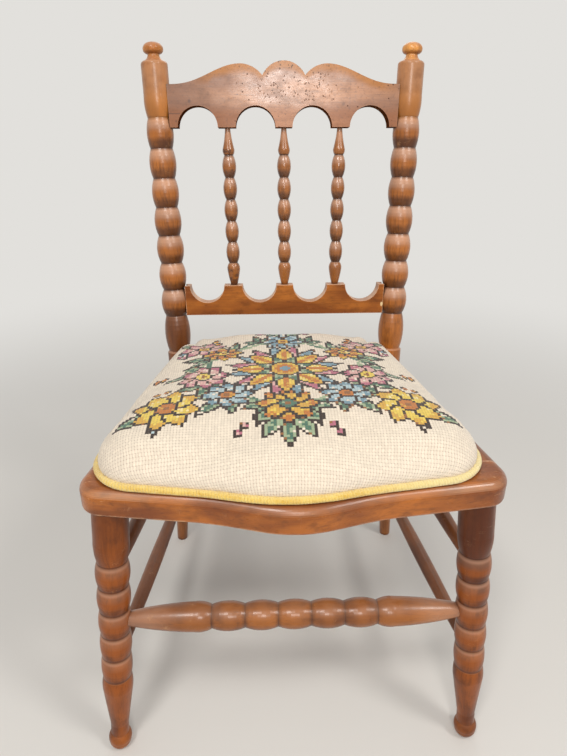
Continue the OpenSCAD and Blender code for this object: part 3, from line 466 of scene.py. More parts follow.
def chipped(t):
    """A pale chip at the right end, and a painted highlight on the vertical lips at the scallops' ends."""
    x, _, z = t.split(t.place)
    flat = t.combined(x, z * CHIP_SLIM)
    far = t.distance(flat, (CHIP_ACROSS, CHIP_SLIM * (LOWER_LOW + CHIP_UP), 0.0))
    t.tint(linear(232, 208, 158), t.spread(far + t.noise(flat, 600.0, 2.0) * 0.0014, 0.0026, 0.0017), 0.85)
    _, ahead, facing = t.split(t.normal)
    # Painted highlight on faces that look sideways and up
    t.tint(GLEAM, t.spread(abs(ahead), 0.80, 0.40), t.spread(facing, -0.25, 0.0), 0.35)


# The turned and sawn pieces. A row of beads: first groove from the middle, distance and number

SPINDLE_BEADS, STRETCHER_BEADS = (-57.7, 22.7, 5), (-75.3, 30.1, 5)
LEG_BEADS, POST_BEADS = (-47.0, 26.7, 5), (-126.7, 29.9, 7)
FRAME_LOOK = dict(bloom=0.05, worn=0.2, edge=0.95, brow=0.12, dirt=0.4, gloss=0.7, smooth=0.27)

for number, name in enumerate(("left_spindle", "centre_spindle", "right_spindle")):
    dress(name, (102, 56, 22), (160, 96, 38), beads=SPINDLE_BEADS, bloom=0.40, tips=0.6, seed=3.0 + number,
          gloss=1.0, smooth=0.24, extra=smudged if number == 0 else None)
dress("front_stretcher", (108, 56, 18), (158, 92, 32), beads=STRETCHER_BEADS, upright=False, bloom=0.22,
      seed=9.5, gloss=0.7, smooth=0.27, ring=0.6)
for number, name in enumerate(("left_upper_stretcher", "right_upper_stretcher", "left_lower_stretcher",
                               "right_lower_stretcher", "rear_stretcher")):
    dress(name, (100, 50, 16), (142, 80, 30), bloom=0.14, seed=13.0 + number, gloss=0.35)
for number, name in enumerate(("left_front_leg", "right_front_leg")):
    dress(name, (94, 41, 6), (152, 78, 16), beads=LEG_BEADS, bloom=0.14, worn=0.2, seed=7.0 + number,
          gloss=0.35, ring=0.25, bands=0.35, cap=0.42, extra=shaded_top)
for number, name in enumerate(("left_post", "right_post")):
    points = points_of(name)
    dress(name, (104, 56, 21), (172, 102, 40), axis=main_axis(points[points[:, 2] > BACK_STRAIGHT]),
          lower=main_axis(points[points[:, 2] < LEG_STRAIGHT]), beads=POST_BEADS, bloom=0.50,
          seed=21.0 + number, gloss=0.6, extra=bleached_top)
dress("front_rail", (122, 60, 12), (174, 98, 28), ((0.0, -0.16, 0.30), ACROSS), seed=31.0, extra=scuffs,
      **FRAME_LOOK)
dress("rear_rail", (108, 54, 18), (144, 82, 28), ((0.0, 0.12, 0.30), ACROSS), bloom=0.10, edge=0.6,
      brow=0.15, dirt=0.4, seed=33.0, gloss=0.6)
for number, (name, side) in enumerate((("left_rail", -1), ("right_rail", 1))):
    dress(name, (118, 58, 12), (170, 96, 28), ((side * 0.15, 0.0, 0.30), (-side * 0.2, 1.0, 0.0)),
          seed=35.0 + number, **FRAME_LOOK)
wear("frame_dowels", wood("dowel_wood", (0.0, -0.105, 0.296), ALONG, PALE_WOOD, PALE_WOOD, seed=39.0))


def stands_for(piece, slot, *nodes):
    """The piece rides on the only body and takes the place of the nodes, which it hides."""
    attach(piece, "root")
    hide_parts(*nodes)


# The two rails of the back, with softened edges

# Beyond RAIL_END a rail is in its post. Edges sharper than ROUNDED are rounded, and those still sharper
# than CREASED afterwards stay sharp
RAIL_END, ROUNDED, CREASED = 0.119, math.radians(38), math.radians(50)


def softened(node, name, finished, shaded_dull, rise, width):
    """A rail of the back with its edges rounded. Its faces that look sideways or down, with less rise than
    given, take the darker, dull copy of the wood that stands for painted shade."""
    made = bmesh.new()
    made.from_mesh(NODES[node].data)
    bmesh.ops.remove_doubles(made, verts=made.verts, dist=2e-6)
    bmesh.ops.dissolve_limit(made, angle_limit=math.radians(0.6), verts=made.verts, edges=made.edges)
    sharp = [e for e in made.edges if len(e.link_faces) == 2 and e.calc_face_angle(0) > ROUNDED
             and all(abs(v.co.x) < RAIL_END for v in e.verts)]
    bmesh.ops.bevel(made, geom=sharp, offset=width, offset_type="OFFSET", segments=3, profile=0.5,
                    affect="EDGES", clamp_overlap=True)
    bmesh.ops.triangulate(made, faces=[f for f in made.faces if len(f.verts) > 4])
    for e in made.edges:
        e.smooth = e.calc_face_angle(0) < CREASED
    mesh = bpy.data.meshes.new(name)
    made.to_mesh(mesh)
    made.free()
    mesh.materials.append(finished)
    mesh.materials.append(shaded_dull)
    for p in mesh.polygons:
        p.use_smooth = True
        # Faces that look sideways or down get the painted-shade copy
        p.material_index = int(abs(p.normal.y) < 0.6 and p.normal.z < rise and abs(p.center.x) < RAIL_END)
    piece = in_scene(name, mesh)
    flats = piece.modifiers.new("flats", "WEIGHTED_NORMAL")
    flats.weight, flats.keep_sharp = 90, True
    stands_for(piece, "back_wood", node)


CREST = dict(middle=(0.0, 0.16, 0.58), axis=ACROSS, bloom=0.26, worn=0.2, seed=41.0)
LOWER = dict(middle=(0.0, 0.13, 0.38), axis=ACROSS, bloom=0.20, worn=0.2, seed=43.0)
# Darker, unvarnished copies of the rails' wood, as painted shade on their inner faces
SHADED_DULL = dict(gloss=0.0, shine=0.0)
softened("crest_rail", "crest_rail_rounded",
         wood("crest_wood", base=(136, 84, 50), crown=(182, 124, 82), edge=0.2, gloss=0.3, smooth=0.25,
              shine=0.65, extra=crest_marks, **CREST),
         wood("crest_inner_shaded_wood", base=(84, 44, 20), crown=(112, 62, 30), **SHADED_DULL, **CREST),
         0.3, 1.8 * MM)
softened("lower_back_rail", "lower_back_rail_rounded",
         wood("lower_rail_wood", base=(128, 68, 24), crown=(178, 106, 40), edge=0.7, brow=0.75, gloss=0.25,
              smooth=0.34, shine=0.1, extra=chipped, **LOWER),
         wood("lower_rail_inner_shaded_wood", base=(84, 44, 18), crown=(112, 62, 26), **SHADED_DULL, **LOWER),
         -0.3, 1.3 * MM)


# The pad

PAD_CENTRE = (PAD_MIDDLE[0] + PAD_SHIFT, PAD_MIDDLE[1])
cover = points_of("needlepoint_cover")
PAD_FOOT = cover[:, 2].min()
rim = cover[cover[:, 2] < PAD_FOOT + 1e-5][:, :2] - PAD_MIDDLE
rim_angle, rim_radius = np.arctan2(rim[:, 1], rim[:, 0]), np.hypot(rim[:, 0], rim[:, 1])
outer = np.array([rim_radius[i] > rim_radius[abs(rim_angle - rim_angle[i]) < 0.004].max() - 0.0004
                  for i in range(len(rim_angle))])
_, first = np.unique(np.round(rim_angle[outer], 5), return_index=True)
corners = rim[outer][first]
# The foot's straight stretches are filled with points before its radius is read against the angle
filled = np.concatenate([a + (b - a) * np.linspace(0, 1, 60, endpoint=False)[:, None]
                         for a, b in zip(corners, np.roll(corners, -1, 0))])
rim_angle, rim_radius = np.arctan2(filled[:, 1], filled[:, 0]), np.hypot(filled[:, 0], filled[:, 1])
order = np.argsort(rim_angle)
rim_angle, rim_radius = rim_angle[order], rim_radius[order]
ring = np.linspace(-math.pi, math.pi, 1441)
reach = np.interp(ring, np.concatenate([rim_angle - 2 * math.pi, rim_angle, rim_angle + 2 * math.pi]),
                  np.tile(rim_radius, 3))
# It is smoothed over the angles next to each other, also where the circle closes
window = np.hanning(15)
reach = np.convolve(np.concatenate([reach[-8:-1], reach, reach[1:8]]), window / window.sum(), "valid")

# Arc length down the pad's rounding, from the shoulder
fall = np.linspace(math.pi / 2, 0, 400)
fall_x, fall_z = PAD_ROLL * (1 - np.cos(fall)), PAD_H * np.sin(fall)
fall_length = np.concatenate([[0], np.cumsum(np.hypot(np.diff(fall_x), np.diff(fall_z)))])
FALL = fall_length[-1]


def foot_radius(angle):
    return np.interp(angle, ring, reach)


def round_centre(radius, angle):
    """Places across and back at distances from the pad's middle."""
    return PAD_CENTRE[0] + radius * np.cos(angle), PAD_CENTRE[1] + radius * np.sin(angle)


def on_pad(flat_x, flat_y):
    """Places on the pad for places on the flat canvas, both from the pad's middle, and how far each
    is from the foot."""
    angle, far = np.arctan2(flat_y, flat_x), np.hypot(flat_x, flat_y)
    shoulder = foot_radius(angle) - PAD_ROLL
    down = np.clip(far - shoulder, 0, FALL)
    a = np.interp(down, fall_length, fall)
    bulge = PAD_BULGE * np.sin(math.pi * np.clip(PAD_H * np.sin(a) / BULGE_H, 0, 1))
    radius = np.where(far < shoulder, far, shoulder + PAD_ROLL * np.cos(a) + bulge)
    share = np.minimum(far / shoulder, 1)
    # The stuffing is fuller in the middle of the back edge and thinner at its corners
    aside = abs(np.cos(angle))
    fuller = REAR_RISE * np.exp(-(aside / 0.50) ** 4) - REAR_DROP * np.exp(-((aside - 0.62) / 0.15) ** 2)
    fuller = fuller * np.clip(np.sin(angle), 0, 1)
    z = PAD_FOOT + np.where(far < shoulder, PAD_H + PAD_CROWN * (1 - share ** 2) + fuller * share ** 2,
                            (PAD_H + fuller) * np.sin(a))
    return np.stack([*round_centre(radius, angle), z], -1), shoulder + FALL - far


def new_piece(name, places, faces, finished):
    mesh = bpy.data.meshes.new(name)
    mesh.from_pydata([tuple(p) for p in places], [], [tuple(int(i) for i in f) for f in faces])
    mesh.materials.append(finished)
    mesh.validate()
    mesh.polygons.foreach_set("use_smooth", [True] * len(mesh.polygons))
    return in_scene(name, mesh)


def store(layer, key, values):
    layer.data.foreach_set(key, np.asarray(values, np.float32).ravel())


def tube(base, rings, around, closed=False):
    """Faces between rings of points that follow each other, the first with number base, and at the ends
    if the tube is closed."""
    faces = []
    for k in range(rings - 1):
        for j in range(around):
            a, b = base + k * around + j, base + k * around + (j + 1) % around
            faces.append((a, b, b + around, a + around))
    last = base + (rings - 1) * around
    if closed:
        faces += [tuple(range(base, base + around))[::-1], tuple(range(last, last + around))]
    return faces


# The finials, with a cove that runs out over the post's shoulder

# Length of the tenon in mm, points round the form, steps between two heights, and how many of the heights
# below keep their corners. These are heights over the base, each with its radius, in mm
FINIAL_TENON, FINIAL_SIDES, FINIAL_STEPS, FINIAL_STRAIGHT = 14, 56, 5, 5
FINIAL = ((-14, 4.0), (-13.9, 4.0), (-0.1, 4.0), (0, 4.2), (0, 9.2), (0.5, 9.1), (1.5, 8.1), (2.8, 7.0),
          (4.2, 6.3), (5.6, 6.0), (6.4, 6.4), (7.2, 8.2), (8.6, 9.7), (10.6, 10.3), (12.8, 10.0),
          (14.9, 8.6), (16.4, 6.4), (17.3, 3.4), (17.6, 0.8))


def finial(node, seed):
    points = points_of(node)
    middle, axis = main_axis(points)
    axis = Vector(axis)
    base = Vector(middle) + axis * float(((points - middle) @ np.array(axis)).min() + FINIAL_TENON * MM)
    knots = np.array(FINIAL) * MM
    fine = np.linspace(0, len(knots) - 1, FINIAL_STEPS * (len(knots) - 1) + 1)
    before = np.clip(fine.astype(int), 0, len(knots) - 2)
    share = (fine - before)[:, None]
    slope = np.gradient(knots, axis=0)
    slope[:FINIAL_STRAIGHT] = 0
    a, b, ta, tb = knots[before], knots[before + 1], slope[before], slope[before + 1]
    curve = (a * (2 * share ** 3 - 3 * share ** 2 + 1) + b * (3 * share ** 2 - 2 * share ** 3)
             + ta * (share ** 3 - 2 * share ** 2 + share) + tb * (share ** 3 - share ** 2))
    x = axis.orthogonal().normalized()
    y = axis.cross(x)
    turns = [2 * math.pi * j / FINIAL_SIDES for j in range(FINIAL_SIDES)]
    places = [base + axis * h + (x * math.cos(a) + y * math.sin(a)) * r for h, r in curve for a in turns]
    name = node + "_turned"
    finished = wood(name + "_wood", middle, tuple(axis), (172, 104, 46), (224, 156, 80), bloom=0.40,
                    seed=seed, gloss=0.6)
    piece = new_piece(name, places, tube(0, len(curve), FINIAL_SIDES, True), finished)
    piece.data.set_sharp_from_angle(angle=math.radians(45))
    stands_for(piece, "bead_wood", node)


finial("left_finial", 11.0)
finial("right_finial", 12.0)


# The stitched design, drawn stitch by stitch: a rosette in a garland, with four bunches of flowers

COLOURS = {
    "ground": (236, 224, 205), "black": (44, 40, 40), "yellow": (232, 204, 92), "gold": (218, 172, 74),
    "orange": (196, 122, 58), "brown": (148, 100, 58), "teal": (74, 118, 100), "green": (160, 180, 146),
    "blue": (118, 154, 170), "sky": (176, 200, 206), "pink": (222, 178, 172), "rose": (186, 112, 132),
    "straw": (240, 222, 158),
}
KEYS = list(COLOURS)
# Half the number of stitches across the drawing, and each stitch's place from the middle
HALF = 80
grid = np.arange(-HALF, HALF) + 0.5
COL, ROW = np.meshgrid(grid, grid, indexing="ij")
drawing = np.zeros(COL.shape, int)

# The middle row of the design, and the garland's half width and half depth, all in stitches
MIDDLE, GARLAND_X, GARLAND_Y = 3, 31, 27


def paint(mask, key):
    drawing[mask] = KEYS.index(key)


def lobe(x, y, turn, length, width, fill, tip=None, vein=None, start=0.0):
    """A pointed petal or leaf from (x, y) outwards, with an outline one stitch wide."""
    c, s = math.cos(turn), math.sin(turn)
    u, v = (COL - x) * c + (ROW - y) * s - start, (ROW - y) * c - (COL - x) * s
    far = np.clip(u / length, 0, 1)
    half = width * np.sin(math.pi * far ** 0.8) ** 0.8
    paint((u > 0) & (u < length) & (abs(v) < half), "black")
    inner = (u > 1.2) & (u < length - 1.5) & (abs(v) < half - 1.0)
    paint(inner, fill)
    if tip:
        paint(inner & (far > 0.6), tip)
    if vein:
        paint(inner & (abs(v) < 0.8) & (far > 0.15) & (far < 0.8), vein)


def disc(x, y, radius, key):
    paint((COL - x) ** 2 + (ROW - y) ** 2 < radius ** 2, key)


def flower(x, y, turn, petals, size, fill, tip, heart):
    for k in range(petals):
        lobe(x, y, turn + 2 * math.pi * k / petals, size, 0.36 * size, fill, tip, start=0.10 * size)
    for share, key in ((0.34, "black"), (0.26, heart), (0.12, "brown")):
        disc(x, y, share * size, key)


def leaves(x, y, turn, size, fill="green", vein="teal", pairs=((0.0, 1.0), (0.8, 0.75), (-0.8, 0.75))):
    for off, long in pairs:
        lobe(x, y, turn + off, size * long, 0.19 * size, fill, vein=vein)


def berries(x, y, turn, key, step=3.6):
    for k in (1, 2):
        for radius, wool in ((1.75, "black"), (1.1, key)):
            disc(x + math.cos(turn) * step * k, y + math.sin(turn) * step * k, radius, wool)


def both(draw, x, y, turn, *rest):
    """Drawn twice, the second time mirrored to the other side of the middle."""
    draw(x, y, turn, *rest)
    draw(-x, y, math.pi - turn, *rest)


def on_garland(turn):
    return GARLAND_X * math.cos(turn), MIDDLE + GARLAND_Y * math.sin(turn)


def bouquet(x, y, sprays, *blossom):
    for turn, *look in sprays:
        both(leaves, x, y, math.radians(turn), *look)
    both(flower, x, y, *blossom)


def design():
    for a in np.linspace(0, 2 * math.pi, 900):
        for wave, key in ((0.0, "teal"), (math.pi, "green")):
            r = 1 + 0.05 * math.sin(10 * a + wave)
            disc(30.5 * r * math.cos(a), MIDDLE + 26.5 * r * math.sin(a), 1.0, key)
    # Leaves and berries outside the garland
    for deg, size in ((72, 11), (48, 15), (22, 13), (-2, 16), (-25, 14), (-50, 17), (-76, 13)):
        x, y = on_garland(math.radians(deg))
        both(leaves, x, y, math.radians(deg), size)
        beside = math.radians(deg + 14)
        both(berries, x + 0.8 * size * math.cos(beside), y + 0.8 * size * math.sin(beside),
             math.radians(deg + 20), "orange" if size > 13 else "rose")
    bouquet(41, -24, ((-28, 19), (-80, 15, "sky", "blue"), (20, 14, "straw", "gold")),
            0.2, 8, 11.5, "yellow", "gold", "orange")
    bouquet(33, 29, ((40, 15), (100, 11, "straw", "gold"), (-20, 12, "sky", "blue")),
            0.0, 7, 9.5, "pink", "rose", "gold")
    # Front and rear sprays on the middle line
    spray = ((0.0, 1.0), (0.55, 0.9), (-0.55, 0.9), (1.1, 0.7), (-1.1, 0.7))
    leaves(0, MIDDLE - 30, -math.pi / 2, 19, pairs=spray)
    leaves(0, MIDDLE + 28, math.pi / 2, 15, pairs=((0.0, 1.0), (0.6, 0.9), (-0.6, 0.9)))
    # Blossoms on the garland
    for deg, size, *look in ((90, 8.5, "blue", "sky", "gold"), (38, 8, "orange", "gold", "yellow"),
                             (-12, 9.5, "pink", "rose", "yellow"), (-48, 9, "sky", "blue", "orange"),
                             (-90, 10.5, "gold", "orange", "teal")):
        turn = math.radians(deg)
        x, y = on_garland(turn)
        if deg % 180 == 90:
            flower(0, y, turn, 8, size, *look)
        else:
            both(flower, x, y, turn, 8, size, *look)
    # Central rosette in four rings
    for k in range(16):
        lobe(0, MIDDLE, 2 * math.pi * (k + 0.5) / 16, 20, 3.3, ("sky", "pink")[k % 2],
             ("blue", "rose")[k % 2], start=3)
    for turn, look in ((0.0, (18, 4.2, "yellow", "gold", "orange", 2)),
                       (0.5, (11, 3.0, "green", "teal", None, 1))):
        for k in range(8):
            lobe(0, MIDDLE, 2 * math.pi * (k + turn) / 8, *look)
    for radius, key in ((6.4, "black"), (5.5, "gold"), (3.6, "orange"), (1.9, "blue")):
        disc(0, MIDDLE, radius, key)


design()
# Some stitches have faded towards a paler wool
FADED = {"yellow": "straw", "gold": "yellow", "orange": "gold", "green": "ground", "teal": "green",
         "sky": "ground", "blue": "sky", "pink": "ground", "rose": "pink", "straw": "ground"}
change = np.random.default_rng(11).random(drawing.shape)
before = drawing.copy()
for a, b in FADED.items():
    drawing[(before == KEYS.index(a)) & (change < 0.14)] = KEYS.index(b)
drawing[(before == KEYS.index("black")) & (change < 0.06)] = KEYS.index("brown")


# The cover is sewn a little small, and its filling presses it out

SWELL_PITCH, SWELL_COUNT, SWELL_FRAMES, SWELL_MOST = 2.5 * STITCH, 28, 20, 12 * MM
# How far the filling presses each height of the cover out or draws it in, by the distance from the foot
SWELL_AT = np.array([0, 12, 25, 40, 55, 80, 110]) * MM
SWELL_BY = np.array([0, 0.2, -1.1, -2.0, 0.4, 5.0, 6.5]) * MM
# Width of the cover's foot that is held still
SEWN = 1.5 * MM


def outward(places):
    normal = np.cross(np.gradient(places, axis=0), np.gradient(places, axis=1))
    return normal / np.maximum(np.linalg.norm(normal, axis=-1, keepdims=True), 1e-12)


def most_room(room):
    """For each square between four places, the largest distance from the foot at its corners."""
    return np.maximum.reduce([room[:-1, :-1], room[1:, :-1], room[1:, 1:], room[:-1, 1:]])


def open_edges(faces):
    used = {(a, b) for f in faces for a, b in zip(f, f[1:] + f[:1])}
    return [(a, b) for a, b in used if (b, a) not in used]


def numbered(i, j, index, order):
    """The numbers of a square's four corners. A corner met for the first time gets the next number."""
    face = []
    for a, b in ((i, j), (i + 1, j), (i + 1, j + 1), (i, j + 1)):
        if index[a, b] < 0:
            index[a, b] = len(order)
            order.append((a, b))
        face.append(int(index[a, b]))
    return face


def swelling():
    """The movement of a grid of places on the cover from the smaller form, found by cloth simulation."""
    span = np.arange(-SWELL_COUNT, SWELL_COUNT + 1) * SWELL_PITCH
    flat_x, flat_y = np.meshgrid(span, span, indexing="ij")
    places, room = on_pad(flat_x, flat_y)
    # Beyond the foot the grid goes straight down, so that no face is empty
    places[..., 2] -= np.maximum(-room, 0)
    cut = outward(places) * np.interp(room, SWELL_AT, SWELL_BY)[..., None]
    start = places - cut
    index, order = -np.ones(room.shape, int), []
    faces = [numbered(i, j, index, order) for i, j in np.argwhere(most_room(room) > 0)]
    rows, columns = np.array(order).T
    closing = [(b, a, len(order)) for a, b in open_edges(faces)]
    verts = [tuple(p) for p in start[rows, columns]] + [(*PAD_CENTRE, PAD_FOOT)]
    mesh = bpy.data.meshes.new("swelling")
    mesh.from_pydata(verts, [], faces + closing)
    piece = in_scene("swelling", mesh)
    held = piece.vertex_groups.new(name="held")
    held.add([k for k, (a, b) in enumerate(order) if room[a, b] < SEWN] + [len(order)], 1.0, "REPLACE")
    cloth = piece.modifiers.new("swelling", "CLOTH")
    wool, cache = cloth.settings, cloth.point_cache
    wool.quality, wool.mass = 8, 0.25
    wool.tension_stiffness = wool.compression_stiffness = 80
    wool.shear_stiffness, wool.bending_stiffness = 20, 0.5
    wool.use_pressure, wool.uniform_pressure_force = True, 2.0
    wool.vertex_group_mass, wool.pin_stiffness = "held", 1.0
    wool.effector_weights.gravity = 0
    cloth.collision_settings.use_collision = False
    cache.frame_start, cache.frame_end = 1, SWELL_FRAMES
    for number in range(1, SWELL_FRAMES + 1):
        bpy.context.scene.frame_set(number)
    shaped = piece.evaluated_get(bpy.context.evaluated_depsgraph_get()).data
    after = np.empty(len(verts) * 3, np.float32)
    shaped.vertices.foreach_get("co", after)
    moved = after.reshape(-1, 3)[:-1] - np.array(verts)[:-1]
    bpy.data.objects.remove(piece)
    bpy.data.meshes.remove(mesh)
    bpy.context.scene.frame_set(1)
    far = np.linalg.norm(moved, axis=1, keepdims=True)
    moved *= np.minimum(1, SWELL_MOST / np.maximum(far, 1e-9))
    found = np.zeros(places.shape)
    found[rows, columns] = moved - cut[rows, columns]
    return found


def sampled(table, flat_x, flat_y):
    """The table's values at places on the flat canvas, straight between its own."""
    u, v = flat_x / SWELL_PITCH + SWELL_COUNT, flat_y / SWELL_PITCH + SWELL_COUNT
    i, j = np.clip(u.astype(int), 0, 2 * SWELL_COUNT - 1), np.clip(v.astype(int), 0, 2 * SWELL_COUNT - 1)
    a, b = (u - i)[..., None], (v - j)[..., None]
    return ((table[i, j] * (1 - a) + table[i + 1, j] * a) * (1 - b)
            + (table[i, j + 1] * (1 - a) + table[i + 1, j + 1] * a) * b)


# Heights of a stitch's middle, corners, two ends and two sides over the cover, in mm, and their unevenness
LIFTS, LIFT_UNEVEN = (0.36, -0.40, -0.08, 0.02), 0.08 * MM
# Squares with less of the cover than this are left out at the foot
LEAST_ROOM = 0.3 * MM
# The closing face lies this far over the foot, and the ring inside it has this share of the foot's radius
UNDER_RISE, UNDER_SHARE = CANVAS_T + 0.15 * MM, 0.6
# The flat layout: stitches across it, size of the underside in it, and how far that is moved to a corner
LAYOUT_STITCHES, LAYOUT_UNDER, LAYOUT_CORNER = 136, 0.11, (-0.449, 0.449)


def stitched_cover(finished):
    """The cover with two by two faces for each stitch, closed under the stuffing."""
    span = np.arange(-2 * HALF, 2 * HALF + 1) * STITCH / 2
    flat_x, flat_y = np.meshgrid(span, span, indexing="ij")
    places, room = on_pad(flat_x, flat_y)
    n = len(span)
    normal = outward(places)
    places = places + sampled(swelling(), flat_x, flat_y) * (room > 0)[..., None]
    index_x, index_y = np.meshgrid(np.arange(n), np.arange(n), indexing="ij")
    odd_x, odd_y = index_x % 2, index_y % 2
    lift = np.select([(odd_x == 1) & (odd_y == 1), (odd_x == 0) & (odd_y == 0), odd_y == 0],
                     LIFTS[:3], LIFTS[3]) * MM
    lift += np.random.default_rng(5).normal(0, LIFT_UNEVEN, lift.shape)
    places = places + normal * (lift * np.clip(room / (2 * STITCH), 0, 1))[..., None]
    index, order = -np.ones((n, n), int), []
    faces, cell = [], []
    for i, j in np.argwhere(most_room(room[::2, ::2]) > LEAST_ROOM):
        for p in (0, 1):
            for q in (0, 1):
                faces.append(numbered(2 * i + p, 2 * j + q, index, order))
                cell.append(drawing[i, j])
    kept, flat = [places[a, b] for a, b in order], [(flat_x[a, b], flat_y[a, b]) for a, b in order]
    rim_edges = open_edges(faces)
    rim_points = sorted({a for edge in rim_edges for a in edge})
    top_faces = len(faces)
    # Under the pad: the cover's thickness, then the closing face over the canvas
    middle = np.array(PAD_CENTRE)
    current = {k: k for k in rim_points}
    for rise, share in ((0, 1), (UNDER_RISE, 1), (UNDER_RISE, UNDER_SHARE)):
        following = {}
        for k in rim_points:
            out = kept[k][:2] - middle
            far = np.linalg.norm(out)
            at = middle + out * ((far - COVER_T) / far * share)
            following[k] = len(kept)
            kept.append(np.array([*at, PAD_FOOT + rise]))
            flat.append(tuple((at - middle) * LAYOUT_UNDER))
        faces += [[current[b], current[a], following[a], following[b]] for a, b in rim_edges]
        current = following
    kept.append(np.array([*middle, PAD_FOOT + UNDER_RISE]))
    flat.append((0.0, 0.0))
    faces += [[current[b], current[a], len(kept) - 1] for a, b in rim_edges]
    piece = new_piece("needlepoint_cover_stitched", kept, faces, finished)
    mesh = piece.data
    corners_of = np.array([len(f) for f in faces])
    under = np.arange(len(faces)) >= top_faces
    shade = np.array([linear(*COLOURS[k]) for k in KEYS])[np.array(cell + [0] * int(under.sum()))]
    store(mesh.attributes.new("wool", "FLOAT_COLOR", "CORNER"), "color", np.repeat(shade, corners_of, axis=0))
    at = np.array(flat)[np.concatenate([np.array(f) for f in faces])]
    store(mesh.attributes.new("stitch", "FLOAT_VECTOR", "CORNER"), "vector",
          np.concatenate([at / STITCH + HALF, np.zeros((len(at), 1))], 1))
    # A flat layout of the cover for baking, its underside small in a free corner
    unfolded = 0.5 + at / (LAYOUT_STITCHES * STITCH)
    unfolded[np.repeat(under, corners_of)] += LAYOUT_CORNER
    store(mesh.uv_layers.new(name="OFBake"), "uv", unfolded)
    made = bmesh.new()
    made.from_mesh(mesh)
    bmesh.ops.remove_doubles(made, verts=made.verts, dist=5e-6)
    bmesh.ops.dissolve_degenerate(made, dist=5e-6, edges=made.edges)
    made.to_mesh(mesh)
    made.free()
    return piece


def wool_material():
    t = material("needlepoint_wool")
    t.colour = t.node("ShaderNodeAttribute", 0, {"attribute_name": "wool"})
    at = t.node("ShaderNodeAttribute", 1, {"attribute_name": "stitch"})
    x, y, _ = t.split(at)
    u, v = t.math("FRACT", x) - 0.5, t.math("FRACT", y) - 0.5
    chance = t.node("ShaderNodeTexWhiteNoise", 0, {"noise_dimensions": "3D"}, Vector=t.vector("FLOOR", at))
    # The stitch slants across its square: how far a place is from the slanted middle line
    aside, along = abs(u - v * 0.55), abs(v)
    body = t.spread(aside, 0.50, 0.20) * t.spread(along, 0.52, 0.34)
    value = 0.93 + chance * 0.12
    t.colour = t.mix(1.0, t.colour, t.combined(value, value, value), "MULTIPLY")
    fibre = t.noise(at * (3.0, 9.0, 1.0), 1.0, 3.0, 0.7)
    t.tint(linear(140, 108, 84), t.spread(fibre, 0.35, 0.75, 0.07, 0.0))
    # Painted shade between the stitches and in the holes at their corners
    t.tint(linear(150, 116, 88), 1.0 - body, 0.10)
    t.tint(linear(100, 74, 54), t.spread(abs(u), 0.34, 0.47), t.spread(along, 0.34, 0.47), 0.80)
    # Pinkish warp threads show between the columns of stitches on the fall of the pad, and a little soil
    t.tint(linear(214, 168, 146), t.spread(abs(u), 0.38, 0.48), t.spread(t.facing, 0.97, 0.55), 0.30)
    t.tint(linear(206, 168, 138), t.spread(t.noise(t.place, 9.0, 3.0, 0.6), 0.50, 0.85, 0.0, 0.08))
    return t.finish(0.92, body + fibre * 0.35, 0.45 * MM, 0.7, Sheen_Weight=0.25, Sheen_Roughness=0.6,
                    Specular_IOR_Level=0.15)


def welt_material():
    t = material("welt_wool_yellow")
    u, v, _ = t.split(t.node("ShaderNodeAttribute", 1, {"attribute_name": "stitch"}))
    slant = t.math("SINE", (u + v * 1.3) * (2 * math.pi))
    fluff = t.noise(t.place, 900.0, 4.0, 0.7)
    broad = t.noise(t.place, 60.0, 3.0, 0.6)
    t.colour = t.mix(t.spread(broad, 0.38, 0.64), linear(224, 180, 68), linear(240, 206, 102))
    # A painted highlight over its right half
    t.tint(linear(240, 230, 176), t.spread(t.split(t.place)[0], 0.03, 0.13), 0.75)
    # Painted shade between the wraps
    t.tint(linear(176, 124, 50), t.spread(slant, 0.1, -0.9, 0.0, 0.14))
    # Paler on top as painted light, and loose fibres
    t.tint(linear(246, 226, 160), t.spread(t.facing, 0.45, 0.95, 0.0, 0.35))
    t.tint(linear(246, 222, 150), t.spread(fluff, 0.42, 0.62, 0.0, 0.50))
    t.tint(linear(180, 126, 48), t.spread(fluff, 0.46, 0.30, 0.0, 0.35))
    # Painted shade in the creases at the welt's sides
    t.tint(linear(160, 110, 52), t.spread(t.shade(3 * MM), 0.5, 0.15, 0.0, 0.25))
    return t.finish(0.9, slant * 0.2 + fluff, 1.1 * MM, 0.9, Sheen_Weight=0.5, Sheen_Roughness=0.5,
                    Specular_IOR_Level=0.15)


# The welt: points round its section, distance of its rings, length of a wrap, and how far it sinks
WELT_SIDES, WELT_STEP, WRAP, WELT_SUNK = 14, 0.9 * MM, 2.4 * MM, 0.2 * MM


